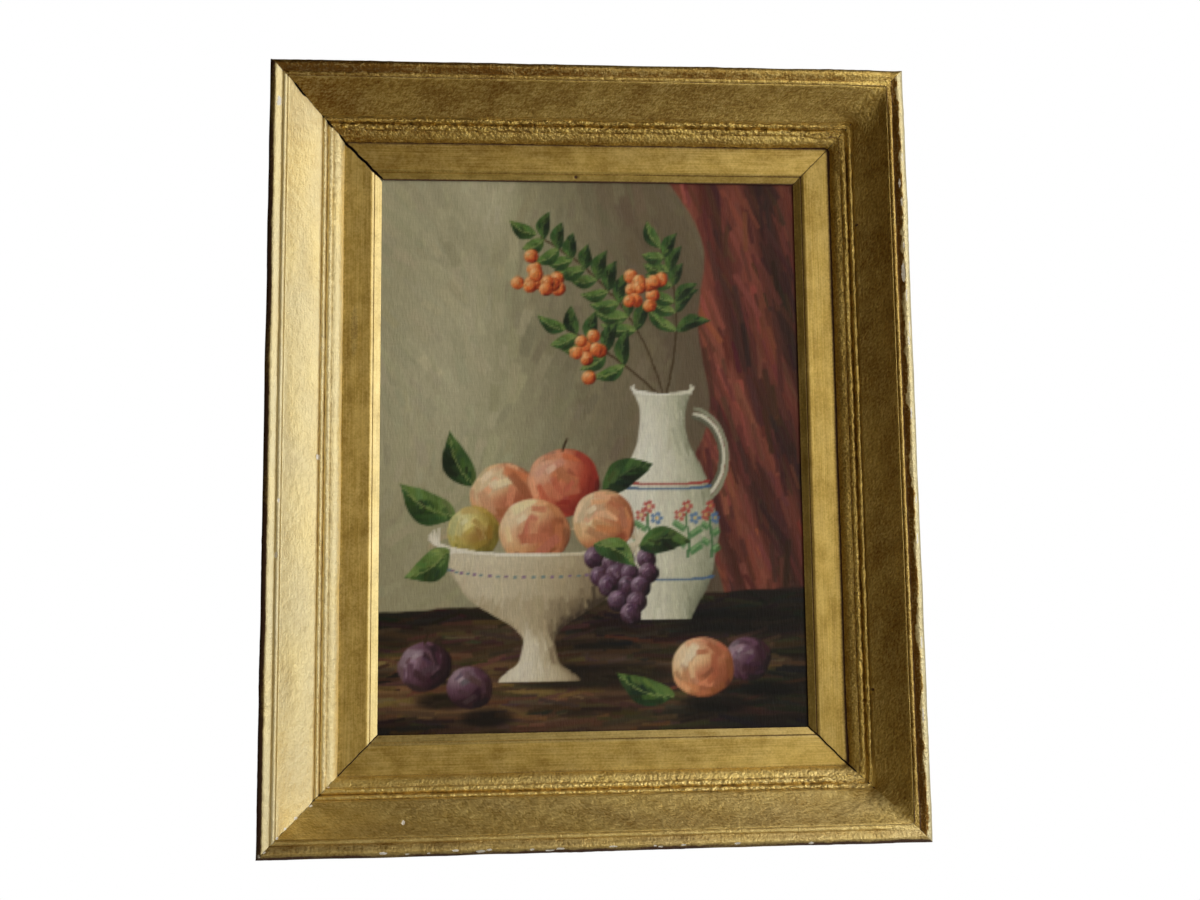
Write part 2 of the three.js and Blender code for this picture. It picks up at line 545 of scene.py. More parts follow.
@dataclass(frozen=True)
class OilPaintOnLinen:
    """Artist's oil paint brushed on primed linen.

    To the eye it is a satin skin of colour, in which the threads stand out as fine vertical slubs and the
    bristles leave grooves.

    Attributes:
        name: Name of the material.
        ground: White priming that shows where threads are rubbed bare.
        thread: Spacing of the threads, in mm. Real linen has about 1.4 threads to the millimetre, which is
            too fine to show, so it is drawn coarser.
        slub: Length of a thick place in a thread, in mm.
    """

    name: str
    ground: str = "#CFC8B8"
    thread: float = 1.1
    slub: float = 5.0

    def build(self) -> bpy.types.Material:
        """Makes the material from the painted colours that the canvas carries."""
        material = new_material(self.name)
        tree = material.node_tree
        paint = add_node(tree, "Attribute", {"attribute_name": "paint"})
        rubbed = add_node(tree, "Attribute", {"attribute_name": "rubbed"})
        place = add_node(tree, "Attribute", {"attribute_name": "bench"})
        warp_threads, weft_threads = (
            add_node(tree, "TexNoise", inputs={"Vector": turned.outputs[0], "Scale": 1.0, "Detail": 3.0})
            for turned in (
                add_node(tree, "Mapping", inputs={"Vector": place.outputs["Vector"], "Scale": scale})
                for scale in ((1 / self.thread, 1 / self.slub, 1), (1 / self.slub, 1 / self.thread, 1))
            )
        )
        weave = add_node(
            tree,
            "Math",
            {"operation": "MULTIPLY_ADD"},
            {0: weft_threads.outputs["Fac"], 1: 0.3, 2: warp_threads.outputs["Fac"]},
        )
        shaded = vary(tree, paint.outputs["Color"], weave.outputs[0], (0.9, 1.09), (0.4, 0.95))
        bare = add_node(
            tree,
            "Math",
            {"operation": "MULTIPLY_ADD"},
            {0: weave.outputs[0], 1: 0.8, 2: rubbed.outputs["Fac"]},
        )
        bare_share = add_node(
            tree, "MapRange", inputs={"Value": bare.outputs[0], "From Min": 1.02, "From Max": 1.14}
        )
        colour = add_node(
            tree,
            "Mix",
            {"data_type": "RGBA"},
            {0: bare_share.outputs[0], MIX_A: shaded, MIX_B: self.ground},
        )
        polish = add_node(
            tree,
            "MapRange",
            inputs={
                "Value": weave.outputs[0], "From Min": 0.3, "From Max": 1.1, "To Min": 0.5, "To Max": 0.7
            },
        )
        looks = {
            "Base Color": colour.outputs[MIX_RESULT],
            "Roughness": polish.outputs[0],
            "Specular IOR Level": 0.25,
        }
        close_material(tree, looks, weave.outputs[0], relief=0.25, strength=0.8)
        return material


@dataclass(frozen=True)
class RawLinen:
    """Unprimed linen, the back of the canvas.

    To the eye it is matt grey-brown cloth with a visible plain weave.

    Attributes:
        name: Name of the material.
        pale: Crest of a thread.
        dark: Gap between threads.
        thread: Spacing of the threads, in mm, drawn twice as coarse as real linen so that it shows.
    """

    name: str
    pale: str = "#B7A283"
    dark: str = "#76634A"
    thread: float = 1.4

    def build(self) -> bpy.types.Material:
        """Makes the material from object coordinates."""
        material = new_material(self.name)
        tree = material.node_tree
        place = add_node(tree, "TexCoord")
        period = 2 * math.pi / (20 * self.thread * MM)
        waves = [
            add_node(
                tree,
                "TexWave",
                {"bands_direction": direction},
                {"Vector": place.outputs["Object"], "Scale": period, "Distortion": 1.2, "Detail": 1.0},
            )
            for direction in ("X", "Z")
        ]
        weave = add_node(
            tree,
            "Math",
            {"operation": "MULTIPLY"},
            {0: waves[0].outputs["Fac"], 1: waves[1].outputs["Fac"]},
        )
        cloth = add_node(
            tree, "Mix", {"data_type": "RGBA"}, {0: weave.outputs[0], MIX_A: self.dark, MIX_B: self.pale}
        )
        stains = add_node(
            tree, "TexNoise", inputs={"Vector": place.outputs["Object"], "Scale": 14.0, "Detail": 5.0}
        )
        aged = vary(tree, cloth.outputs[MIX_RESULT], stains.outputs["Fac"], (0.7, 1.15))
        polish = add_node(
            tree, "MapRange", inputs={"Value": weave.outputs[0], "To Min": 0.95, "To Max": 0.82}
        )
        looks = {"Base Color": aged, "Roughness": polish.outputs[0]}
        close_material(tree, looks, weave.outputs[0], relief=0.3, strength=0.8)
        return material


# ------------------------------------------------------------------------------------------- rail outlines


@dataclass(frozen=True)
class Bead:
    """A half-round bead: where its crest lies, how high, its radius and the depth of its side grooves."""

    inset: float
    crest: float
    radius: float
    groove: float = 0.7


@dataclass
class Section:
    """A rail's outline, followed from the outer back corner up the outer side and over the front.

    Attributes:
        spacing: Distance between points on the stretches that show, in mm.
        insets: Inset of each point.
        heights: Height of each point.
        stretches: The stretch that each point belongs to.
    """

    spacing: float
    insets: list[float] = field(default_factory=list)
    heights: list[float] = field(default_factory=list)
    stretches: list[Stretch] = field(default_factory=list)

    def point(self, stretch: Stretch, inset: float, height: float) -> None:
        """Adds one point."""
        self.insets.append(inset)
        self.heights.append(height)
        self.stretches.append(stretch)

    def line(self, stretch: Stretch, inset: float, height: float, spacing: float | None = None) -> None:
        """Adds a straight line from the last point.

        Args:
            stretch: The stretch that it belongs to.
            inset: Inset of its end.
            height: Height of its end.
            spacing: Distance between its points, if it differs from the section's own.
        """
        middle = ((self.insets[-1] + inset) / 2, (self.heights[-1] + height) / 2)
        self.curve(stretch, middle, (inset, height), spacing)

    def curve(
        self,
        stretch: Stretch,
        control: tuple[float, float],
        end: tuple[float, float],
        spacing: float | None = None,
    ) -> None:
        """Adds a quadratic curve from the last point.

        Args:
            stretch: The stretch that it belongs to.
            control: Inset and height of its control point.
            end: Inset and height of its end.
            spacing: Distance between its points, if it differs from the section's own.
        """
        start = (self.insets[-1], self.heights[-1])
        steps = max(1, round(math.dist(start, end) / (spacing or self.spacing)))
        for step in range(1, steps + 1):
            t = step / steps
            weights = ((1 - t) ** 2, 2 * t * (1 - t), t * t)
            inset, height = (
                sum(w * p[axis] for w, p in zip(weights, (start, control, end))) for axis in (0, 1)
            )
            self.point(stretch, inset, height)

    def arc(
        self, stretch: Stretch, centre: tuple[float, float], radius: float, start: float, end: float
    ) -> None:
        """Adds an arc.

        Args:
            stretch: The stretch that it belongs to.
            centre: Inset and height of its centre.
            radius: Its radius.
            start: Angle of its first point, from the inset axis towards the height axis.
            end: Angle of its last point.
        """
        steps = max(4, round(abs(end - start) * radius / self.spacing))
        for step in range(steps + 1):
            angle = start + (end - start) * step / steps
            self.point(stretch, centre[0] + radius * math.cos(angle), centre[1] + radius * math.sin(angle))

    def bead(self, stretch: Stretch, bead: Bead) -> None:
        """Adds a half-round bead from groove to groove."""
        foot = math.asin(bead.groove / bead.radius)
        centre = (bead.inset, bead.crest - bead.radius)
        self.arc(stretch, centre, bead.radius, math.pi + foot, -foot)


class Outline:
    """A finished section as arrays, one value for each of its points.

    Attributes:
        inset: Inset in mm.
        height: Height in mm.
        arc: Distance along the outline in mm.
        normal: Outward direction as (inset, height).
        shown: 1 on the stretches that the viewer sees, 0 on the hidden ones.
        groove: How far a point lies below its smoothed surroundings, in mm; negative on crests.
        softened: Smoothed (inset, height), for corners that are filled and painted over.
    """

    def __init__(self, section: Section) -> None:
        """Works out the arrays from a section."""
        self.stretches = section.stretches
        points = np.array([section.insets, section.heights])
        self.inset, self.height = points
        steps = np.roll(points, -1, axis=1) - points
        lengths = np.hypot(*steps)
        self.arc = np.concatenate([[0], np.cumsum(lengths)[:-1]])
        steps = steps / np.maximum(lengths, 1e-6)
        direction = steps + np.roll(steps, 1, axis=1)
        direction = direction / np.maximum(np.hypot(*direction), 1e-6)
        self.normal = np.array([-direction[1], direction[0]])
        unseen = (Stretch.HIDDEN, Stretch.OUTER_WALL)
        self.shown = np.array([stretch not in unseen for stretch in self.stretches], float)
        near = self.smoothed(points, 1.0)
        self.groove = np.sum((near - points) * self.normal, axis=0) * self.shown
        self.softened = self.smoothed(points, 2.0)

    def smoothed(self, points: np.ndarray, width: float) -> np.ndarray:
        """Averages the points along the outline.

        Args:
            points: Insets and heights.
            width: Standard deviation of the average, in mm.

        Returns:
            The averaged points, the same where nothing shows.
        """
        away = self.arc[:, None] - self.arc[None, :]
        weights = np.exp(-0.5 * (away / width) ** 2)
        spread = np.gradient(self.arc)
        weights = weights * spread[None, :]
        weights = weights / weights.sum(axis=1, keepdims=True)
        average = points @ weights.T
        return points + (average - points) * self.shown

    def per_stretch(self, values: dict[Stretch, float]) -> np.ndarray:
        """Spreads one value for each stretch over its points; stretches not named get 0."""
        return np.array([values.get(stretch, 0.0) for stretch in self.stretches])


# --------------------------------------------------------------------------------------------------- rails


@dataclass(frozen=True)
class Joint:
    """How age and repair have left one mitre.

    Attributes:
        width: Width of the joint where it is closed, in mm.
        gap: Width where it has opened.
        gaps: Where it has opened, as (start, end) insets.
        filled: Radius of the putty and paint that round the inner corner, 0 where there is none.
        dirt: How much dirt has settled along it, from 0 to 1.
        wander: How far it strays from a straight line, in mm.
    """

    width: float
    gap: float = 0.0
    gaps: tuple[tuple[float, float], ...] = ()
    filled: float = 0.0
    dirt: float = 0.3
    wander: float = 0.0

    def strayed(self, outline: Outline) -> np.ndarray:
        """How far the joint strays sideways at each point of an outline, in mm."""
        swing = np.sin(outline.inset * 0.8) + 0.5 * np.sin(outline.inset * 2.1 + 1)
        return self.wander * swing * outline.shown

    def widths(self, outline: Outline) -> np.ndarray:
        """Width of the joint at each point of an outline, nearly closed where it is hidden."""
        opened = np.zeros_like(outline.inset)
        for start, end in self.gaps:
            inside = smoothstep(start - 0.8, start + 0.8, outline.inset)
            inside = inside * (1 - smoothstep(end - 0.8, end + 0.8, outline.inset))
            opened = np.maximum(opened, inside)
        width = self.width + (self.gap - self.width) * opened
        return 0.02 + (width - 0.02) * outline.shown


class Damage(Enum):
    """What has happened at a mark."""

    GESSO_CHIP = "chip"
    NAIL_HOLE = "nail hole"
    SMUDGE = "smudge"
    RUBBED = "rubbed thin"
    NICK = "nick"


@dataclass(frozen=True)
class Mark:
    """One mark of wear, at a place measured from the middle of the frame.

    Attributes:
        kind: What it is.
        x: Distance to the right, in mm.
        z: Distance up, in mm.
        width: Its size along X.
        tall: Its size along Z.
        depth: Its depth in mm.
    """

    kind: Damage
    x: float
    z: float
    width: float
    tall: float
    depth: float = 0.4

    def mask(self, x: np.ndarray, z: np.ndarray) -> np.ndarray:
        """How much each point belongs to the mark: 1 in its middle, 0 outside."""
        away = np.hypot((x - self.x) / (self.width / 2), (z - self.z) / (self.tall / 2))
        return 1 - smoothstep(0.55, 1.25, away)


@dataclass
class Surface:
    """Unevenness and age of a rail, with its painted light and shade, one value for each of its points.

    Attributes:
        rise: Height above the true surface, in mm.
        tarnish: How brown the bronze is, from 0 to 1; it also carries painted shade, which browns it, and
            painted highlights, which freshen it.
        bloom: How chalky and pale it is, from 0 to 1; partly worn paint, partly a painted highlight.
        dirt: How much dirt lies on it, from 0 to 1, with painted shade along some edges.
        grainy: Strength of the grain.
        crumbly: Strength of the crumbs.
        lean: How far the brush marks lean across the rail.
    """

    rise: np.ndarray
    tarnish: np.ndarray
    bloom: np.ndarray
    dirt: np.ndarray
    grainy: np.ndarray
    crumbly: np.ndarray
    lean: np.ndarray


@dataclass
class RailSet:
    """Four mitred rails of one section.

    Attributes:
        part: First part of the CAD nodes' names.
        slot: Name of the rails' material slot; not used.
        finish: The finish of the front and outer side.
        joints: The state of each mitre.
        marks: Wear at single places.
        spacing: Distance between stations along a rail, in mm.
        seed: Seed of the random relief.
        hollow: Insets between which the rail is hollow.
    """

    part: str
    slot: str
    finish: BronzePaint
    joints: dict[Corner, Joint]
    marks: list[Mark]
    spacing: float
    seed: int
    hollow: tuple[float, float] = (11.2, 28.3)

    # Distances from a mitre, in mm.
    JOINT_DIRT = 0.6  # over which its dirt fades
    SMOOTH_CUT = 1.0  # over which the relief fades at a plain cut
    SMOOTH_FILLED = 5.0  # over which it fades at a filled corner

    def section(self) -> Section:
        """The rails' outline."""
        raise NotImplementedError

    def surface(self, side: Side, outline: Outline, along: np.ndarray, arc: np.ndarray) -> Surface:
        """Unevenness and age of a rail, with its painted light and shade.

        Args:
            side: Which rail.
            outline: The rails' outline.
            along: Place of each point along the rail, in mm.
            arc: Place of each point along the outline, in mm.

        Returns:
            The values for all points.
        """
        raise NotImplementedError

    def build(self) -> list[bpy.types.Object]:
        """Builds the four rails and gives them their finishes."""
        outline = Outline(self.section())
        gilding = self.finish.build()
        glue = OldPine(f"{self.part}_sooty_glue", along=0, earlywood="#3C2528", latewood="#1C1012").build()
        rails = []
        for side in Side:
            wood = OldPine(f"{self.part}_{side.name.lower()}_wood", along=0 if side.value % 2 == 0 else 2)
            rail = self.rail(side, outline)
            rail.data.materials.append(gilding)
            rail.data.materials.append(wood.build())
            rail.data.materials.append(glue)
            node = f"{self.part}_{side.name.lower()}"
            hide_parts(node)
            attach(rail, "root")
            LOG.info("%s: %d faces", rail.name, len(rail.data.polygons))
            rails.append(rail)
        return rails

    def rail(self, side: Side, outline: Outline) -> bpy.types.Object:
        """Builds one rail as a closed mesh.

        Args:
            side: Which rail.
            outline: The rails' outline.

        Returns:
            The rail's object.
        """
        half_length = FRAME.half_height if side.value % 2 else FRAME.half_width
        low = self.joints[Corner(side.value)]
        high = self.joints[Corner((side.value + 3) % 4)]
        reach = half_length - outline.inset
        start = low.strayed(outline) + low.widths(outline) / math.sqrt(2) - reach
        end = high.strayed(outline) + reach - high.widths(outline) / math.sqrt(2)
        share = np.linspace(0, 1, round(2 * half_length / self.spacing) + 1)[:, None]
        along = start + (end - start) * share
        arc = np.broadcast_to(outline.arc, along.shape)
        inset = np.broadcast_to(outline.inset, along.shape)
        height = np.broadcast_to(outline.height, along.shape)
        surface = self.surface(side, outline, along, arc)
        rise, dirt = surface.rise, surface.dirt

        to_low = along + reach
        to_high = reach - along
        for joint, distance, sign in ((low, to_low, 1), (high, to_high, -1)):
            opened = np.clip((joint.widths(outline) - 0.3) / 0.4, 0, 1)
            swing = np.abs(np.sin(outline.inset * 1.3 + 2 * np.sin(outline.inset * 0.5)))
            broken = joint.dirt * (0.3 + 0.7 * swing)
            dirt = dirt + np.exp(-distance / self.JOINT_DIRT) * np.maximum(broken, opened)
            rise = rise * smoothstep(0, self.SMOOTH_FILLED if joint.filled else self.SMOOTH_CUT, distance)
            if joint.filled:
                blend = 1 - smoothstep(2, 1.5 * joint.filled, distance)
                inset = inset + (outline.softened[0] - outline.inset) * blend
                height = height + (outline.softened[1] - outline.height) * blend
                radius = self.filling(joint, outline)
                turn = np.clip(0.5 * (1 - distance / radius), 0, 0.5)
                inside = distance < radius
                shift = radius * (1 - turn) ** 2 - distance
                along = along + np.where(inside, shift, 0) * sign
                inset = inset + np.where(inside, radius * turn**2, 0)

        x, z = FRAME.spread(side, along, inset)
        chip = np.zeros_like(x)
        for mark in self.marks:
            mask = mark.mask(x, z) * np.broadcast_to(outline.shown, x.shape)
            rise = rise - mask * mark.depth
            if mark.kind is Damage.GESSO_CHIP:
                chip = np.maximum(chip, mask)
            elif mark.kind is Damage.RUBBED:
                chip = np.maximum(chip, mask * 0.6)
            else:
                dirt = dirt + mask * (0.35 if mark.kind is Damage.SMUDGE else 1.0)
        inset = inset + rise * outline.normal[0]
        height = height + rise * outline.normal[1]
        x, z = FRAME.spread(side, along, inset)
        points = np.stack([x, -height, z + FRAME.middle], axis=-1) * MM

        name = f"gilded_{self.part}_{side.name.lower()}"
        rail = sweep_mesh(name, points, [s is Stretch.HIDDEN for s in outline.stretches])
        bench = np.stack([along + surface.lean * arc, arc, np.full_like(along, 50.0 * side.value)], axis=-1)
        set_attribute(rail.data, "bench", "FLOAT_VECTOR", bench)
        masks = {
            "dirt": dirt,
            "tarnish": surface.tarnish,
            "bloom": surface.bloom,
            "grainy": surface.grainy,
            "crumbly": surface.crumbly,
            "chip": chip,
        }
        for mask_name, mask in masks.items():
            set_attribute(rail.data, mask_name, "FLOAT", np.clip(mask, 0, 2) + np.zeros_like(along))
        return rail

    def filling(self, joint: Joint, outline: Outline) -> np.ndarray:
        """How wide a filled corner is rounded at each point: most in the hollow, little on the beads."""
        start, end = self.hollow
        share = np.clip((outline.inset - start) / (end - start), 0, 1)
        radius = (0.18 + 0.82 * np.sin(share * math.pi)) * joint.filled * outline.shown
        return np.maximum(radius * smoothstep(start - 4, start, outline.inset), 1e-3)


@dataclass(frozen=True)
class FrameSize:
    """The frame's overall size in mm, read from the CAD model.

    Attributes:
        half_width: Half its width.
        half_height: Half its height.
        middle: Height of its middle above the origin.
    """

    half_width: float
    half_height: float
    middle: float

    def spread(self, side: Side, along: np.ndarray, inset: np.ndarray) -> tuple[np.ndarray, np.ndarray]:
        """Places points of a rail in the plane of the picture.

        Args:
            side: Which rail.
            along: Distance along the rail from its middle.
            inset: Distance in from the frame's outer edge.

        Returns:
            X and Z of each point from the middle of the frame, in mm.
        """
        out = inset - (self.half_width if side.value % 2 else self.half_height)
        turned = {
            Side.BOTTOM: (along, out),
            Side.LEFT: (out, -along),
            Side.TOP: (-along, -out),
            Side.RIGHT: (-out, along),
        }
        return turned[side]


CAD_LOW, CAD_HIGH = ([value / MM for value in corner] for corner in CAD_BOUNDS)
FRAME = FrameSize(
    half_width=(CAD_HIGH[0] - CAD_LOW[0]) / 2,
    half_height=(CAD_HIGH[2] - CAD_LOW[2]) / 2,
    middle=(CAD_HIGH[2] + CAD_LOW[2]) / 2,
)


def set_attribute(mesh: bpy.types.Mesh, name: str, kind: str, values: np.ndarray) -> None:
    """Stores one value for each vertex.

    Args:
        mesh: The mesh that carries the values.
        name: The attribute's name.
        kind: Its type: FLOAT, FLOAT_VECTOR or FLOAT_COLOR.
        values: The values, in the order of the vertices.
    """
    member = {"FLOAT": "value", "FLOAT_VECTOR": "vector", "FLOAT_COLOR": "color"}[kind]
    mesh.attributes.new(name, kind, "POINT").data.foreach_set(member, values.astype(np.float32).ravel())


def add_object(
    name: str, points: np.ndarray, faces: list[list[int]], materials: list[int]
) -> bpy.types.Object:
    """Makes a smooth-shaded mesh object with sharp edges where it folds.

    Args:
        name: The object's name.
        points: Its vertices, one row of three for each.
        faces: Vertex numbers of each face.
        materials: Number of each face's material.

    Returns:
        The new object.
    """
    mesh = bpy.data.meshes.new(name)
    mesh.from_pydata(points.tolist(), [], faces)
    mesh.polygons.foreach_set("material_index", materials)
    mesh.polygons.foreach_set("use_smooth", [True] * len(faces))
    mesh.set_sharp_from_angle(angle=math.radians(50))
    made = bpy.data.objects.new(name, mesh)
    bpy.context.scene.collection.objects.link(made)
    return made


def sweep_mesh(name: str, points: np.ndarray, hidden: list[bool]) -> bpy.types.Object:
    """Closes a row of stations into one solid.

    Args:
        name: The object's name.
        points: Vertices by station and by place on the outline.
        hidden: Whether the face that starts at each place is at the back.

    Returns:
        The new object, with material 0 on the front, 1 on the back and 2 on the mitred ends.
    """
    stations, places, _ = points.shape
    number = np.arange(stations * places).reshape(stations, places)
    ahead = np.roll(number, -1, axis=1)
    quads = np.stack([number[:-1], number[1:], ahead[1:], ahead[:-1]], axis=-1)
    faces = quads.reshape(-1, 4).tolist()
    materials = [int(is_back) for is_back in hidden] * (stations - 1)
    faces.append(number[0].tolist())
    faces.append(number[-1][::-1].tolist())
    return add_object(name, points.reshape(-1, 3), faces, materials + [2, 2])


Ends = dict[Side, tuple]


def ends(*values: tuple) -> Ends:
    """Names the values at the low and high end of the bottom, left, top and right rail."""
    return field(default_factory=lambda: dict(zip(Side, values)))


@dataclass
class Moulding(RailSet):
    """The deep outer moulding: rounded edge, convex band, bead, wide scoop, two beads and a cushion.

    What differs from rail to rail is given by side, as a value at the rail's low end and one at its high end.

    Attributes:
        edge: Top of the outer wall, and control point and end of the rounded edge, as (inset, height).
        band: Inner end of the band.
        band_shoulder: Control point of the band's curve.
        outer_bead: The bead between the band and the scoop.
        scoop: Start, control point and end of the scoop.
        small_bead: The outer one of the two beads inside the scoop.
        large_bead: The inner one.
        cushion: Start, control point and end of the cushion.
        lip: Height of the underside of the lip over the liner.
        rebate: Inset of the wall beside the liner.
        fillings: How far paint has filled the grooves.
        groove_places: Insets of the five grooves.
        grooves: Dirt in each of them.
        crumbs: How thick and crumbly the paint lies on the beads.
        grains: How grainy the paint is.
        tarnish: How brown it is; set rail by rail to the brightness that each rail shows, so it is partly
            painted shade.
        chalk_and_highlights: How pale and chalky it is: mostly a painted highlight, strongest on the left
            rail, which faces the light.
        band_tarnish: How much darker the band is than the rest: painted shade, most on the right rail, and on
            the left rail a little painted highlight.
        outer_edge_shade_and_rim: Painted shade on the outer edge, and the inset in mm that it reaches; not
            from end to end.
            On the right rail, which faces the light, the strip is a painted highlight instead.
        leans: How far the brush marks in the scoop lean, one value for each rail.
    """

    edge: tuple[tuple[float, float], ...] = ((0.0, 47.8), (0.9, 51.0), (3.7, 52.0))
    band: tuple[float, float] = (7.5, 49.3)
    band_shoulder: tuple[float, float] = (5.2, 51.8)
    outer_bead: Bead = Bead(9.2, 50.5, 1.3, groove=0.2)
    scoop: tuple[tuple[float, float], ...] = ((11.2, 49.8), (18.65, 39.9), (28.3, 32.2))
    small_bead: Bead = Bead(29.9, 31.3, 1.2, groove=0.6)
    large_bead: Bead = Bead(33.1, 28.7, 1.8, groove=0.6)
    cushion: tuple[tuple[float, float], ...] = ((35.3, 26.3), (39.2, 25.7), (40.6, 21.1))
    lip: float = 19.85
    rebate: float = 34.5
    fillings: Ends = ends((0.3, 0.7), (0.45, 0.4), (0.7, 0.9), (0.5, 0.5))
    groove_places: tuple[float, ...] = (7.7, 10.8, 28.5, 31.2, 35.1)
    grooves: Ends = ends(
        ((0.3, 0.6, 1.7, 0.5, 0.3), (0.3, 0.8, 0.6, 0.8, 0.4)),
        ((0.4, 0.4, 1.9, 0.9, 0.2), (0.1, 0.1, 1.9, 1.0, 0.3)),
        ((0.5, 1.4, 0.4, 0.6, 0.5), (0.4, 1.2, 0.3, 0.5, 0.2)),
        ((1.3, 1.1, 0.8, 0.8, 0.6), (1.3, 1.1, 0.8, 0.8, 0.6)),
    )
    crumbs: Ends = ends((0.3, 1.0), (0.5, 0.4), (1.0, 1.0), (0.7, 0.6))
    grains: Ends = ends((0.5, 0.7), (0.4, 0.4), (0.8, 0.8), (0.9, 0.9))
    tarnish: Ends = ends((0.36, 0.3), (0.3, 0.3), (0.4, 0.72), (0.45, 0.5))
    chalk_and_highlights: Ends = ends((0.12, 0.2), (0.6, 0.6), (0.0, 0.0), (0.0, 0.0))
    band_tarnish: Ends = ends((0.2, 0.2), (-0.1, -0.1), (0.2, 0.45), (0.7, 0.7))
    outer_edge_shade_and_rim: Ends = ends((0.9, 2.3), (0.95, 3.5), (0.25, 1.5), (0.0, 4.6))
    leans: Ends = ends((0.9,), (0.0,), (-0.7,), (0.6,))

    # Length along the rail and across it, in mm, of one bump of each kind.
    PATCH = (16, 7)  # broad uneven places in the gesso
    LUMP = (2.8, 2.2)  # lumps of paint on the beads
    DENT = (2.2, 2.0)  # small dents, as if hammered
    SWAY = (45, 1)  # the outer edge out of line
    KNOCK = (11, 1)  # single knocks along the outer edge
    # Heights in mm of the same bumps.
    PATCH_HEIGHT = 0.12
    LUMP_HEIGHT = 0.7
    BEAD_LUMP_HEIGHT = 0.3
    SWAY_HEIGHT = 0.16
    KNOCK_HEIGHT = 0.12
    CORNER_SHADE = 11  # how far the right rail's painted shade spreads past a filled corner, in mm

    def section(self) -> Section:
        """The moulding's outline."""
        section = Section(spacing=0.55)
        section.point(Stretch.OUTER_WALL, 0, 0)
        section.line(Stretch.OUTER_WALL, *self.edge[0], spacing=3.5)
        section.curve(Stretch.ROUNDING, self.edge[1], self.edge[2])
        section.curve(Stretch.BAND, self.band_shoulder, self.band)
        section.bead(Stretch.BEAD, self.outer_bead)
        section.line(Stretch.SCOOP, *self.scoop[0])
        section.curve(Stretch.SCOOP, self.scoop[1], self.scoop[2])
        section.bead(Stretch.SMALL_BEAD, self.small_bead)
        section.bead(Stretch.LARGE_BEAD, self.large_bead)
        section.line(Stretch.CUSHION, *self.cushion[0])
        section.curve(Stretch.CUSHION, self.cushion[1], self.cushion[2])
        section.line(Stretch.CUSHION, self.cushion[2][0], self.lip)
        section.line(Stretch.HIDDEN, self.rebate, self.lip, spacing=3)
        section.line(Stretch.HIDDEN, self.rebate, 0, spacing=6)
        section.line(Stretch.HIDDEN, self.rebate / 7, 0, spacing=6)
        return section

    def surface(self, side: Side, outline: Outline, along: np.ndarray, arc: np.ndarray) -> Surface:
        """Brush ridges, lumps on the beads, knocks along the outer edge, dirt in all the hollows, and painted
        light and shade.
        """
        rng = np.random.default_rng(self.seed + side.value)
        share = (along - along.min()) / np.ptp(along)
        outer = outline.per_stretch({Stretch.ROUNDING: 1, Stretch.BAND: 1, Stretch.BEAD: 0.4})
        scoop = outline.per_stretch({Stretch.SCOOP: 1})
        beads = outline.per_stretch({Stretch.SMALL_BEAD: 1, Stretch.LARGE_BEAD: 1, Stretch.CUSHION: 0.4})
        wall = outline.per_stretch({Stretch.OUTER_WALL: 1})
        # Each pair is the value at the rail's low end and at its high end.
        crumbly = self.between(self.crumbs[side], share)
        grainy = self.between(self.grains[side], share)
        # Browning and paleness differ from rail to rail partly as painted shade and painted highlight: the
        # left rail is paler, the right rail browner.
        tarnish = self.between(self.tarnish[side], share)
        bloom = self.between(self.chalk_and_highlights[side], share)
        broad = bumps(rng, along, arc, *self.PATCH)
        lumps = np.abs(bumps(rng, along, arc, *self.LUMP))
        hammered = bumps(rng, along, arc, *self.DENT)
        sway = bumps(rng, along, np.zeros_like(arc), *self.SWAY)
        edge = bumps(rng, along, np.zeros_like(arc), *self.KNOCK)
        bead_lumps = self.BEAD_LUMP_HEIGHT * outline.per_stretch({Stretch.BEAD: 1})
        lump_height = self.LUMP_HEIGHT * beads + bead_lumps
        rise = broad * self.PATCH_HEIGHT * outline.shown + (lumps - 0.4) * lump_height * crumbly**1.5
        rise = rise + hammered * (0.08 * scoop + 0.1 * outer + 0.1 * beads)
        rise = rise + (sway * self.SWAY_HEIGHT + edge * self.KNOCK_HEIGHT) * outline.per_stretch(
            {Stretch.OUTER_WALL: 1, Stretch.ROUNDING: 1, Stretch.BAND: 0.6, Stretch.BEAD: 0.5}
        )
        filled = self.between(self.fillings[side], share)
        rise = rise + outline.groove * filled
        depth = np.clip(outline.groove / 0.3, 0, 1) * (1 - 0.5 * filled)
        crest = np.clip(-outline.groove / 0.25, 0, 1)
        low, high = (np.interp(outline.inset, self.groove_places, values) for values in self.grooves[side])
        dirt = depth * (low + (high - low) * share) * (1 + 0.35 * edge + 0.25 * hammered)
        dirt = dirt + (1 - smoothstep(0, 0.22, lumps)) * beads * crumbly * 0.3
        dirt = dirt + wall * np.clip(0.45 + broad * 0.4, 0, 0.8)
        # The outer edge is painted dark as shade on the bottom, left and top rails; on the right rail the
        # same strip is painted pale as a highlight.
        edge_shade, reach = self.outer_edge_shade_and_rim[side]
        ragged = (0.25 + 0.2 * reach * (side is Side.RIGHT)) * (edge + 0.6 * hammered)
        facing_out = smoothstep(reach + 0.5, reach - 0.5, outline.inset + ragged) * outline.shown
        dirt = dirt + facing_out * edge_shade * (1 + 0.3 * broad)
        # The band is painted darker as shade, most on the right rail, and a little lighter on the left rail
        # as a painted highlight.
        darker = self.between(self.band_tarnish[side], share)
        # Crumb tops on the beads are painted fresher and lighter: a painted glint.
        painted_glint = smoothstep(0.45, 0.9, lumps) * beads * crumbly
        # Near the right-hand corners the scoops of the top and bottom rails are painted browner, carrying the
        # right rail's painted shade past the filled corner.
        painted_corner_shade = {Side.BOTTOM: 1 - share, Side.TOP: share}.get(side, np.ones_like(share))
        painted_corner_shade = 0.35 * np.exp(-np.ptp(along) * painted_corner_shade / self.CORNER_SHADE) * scoop
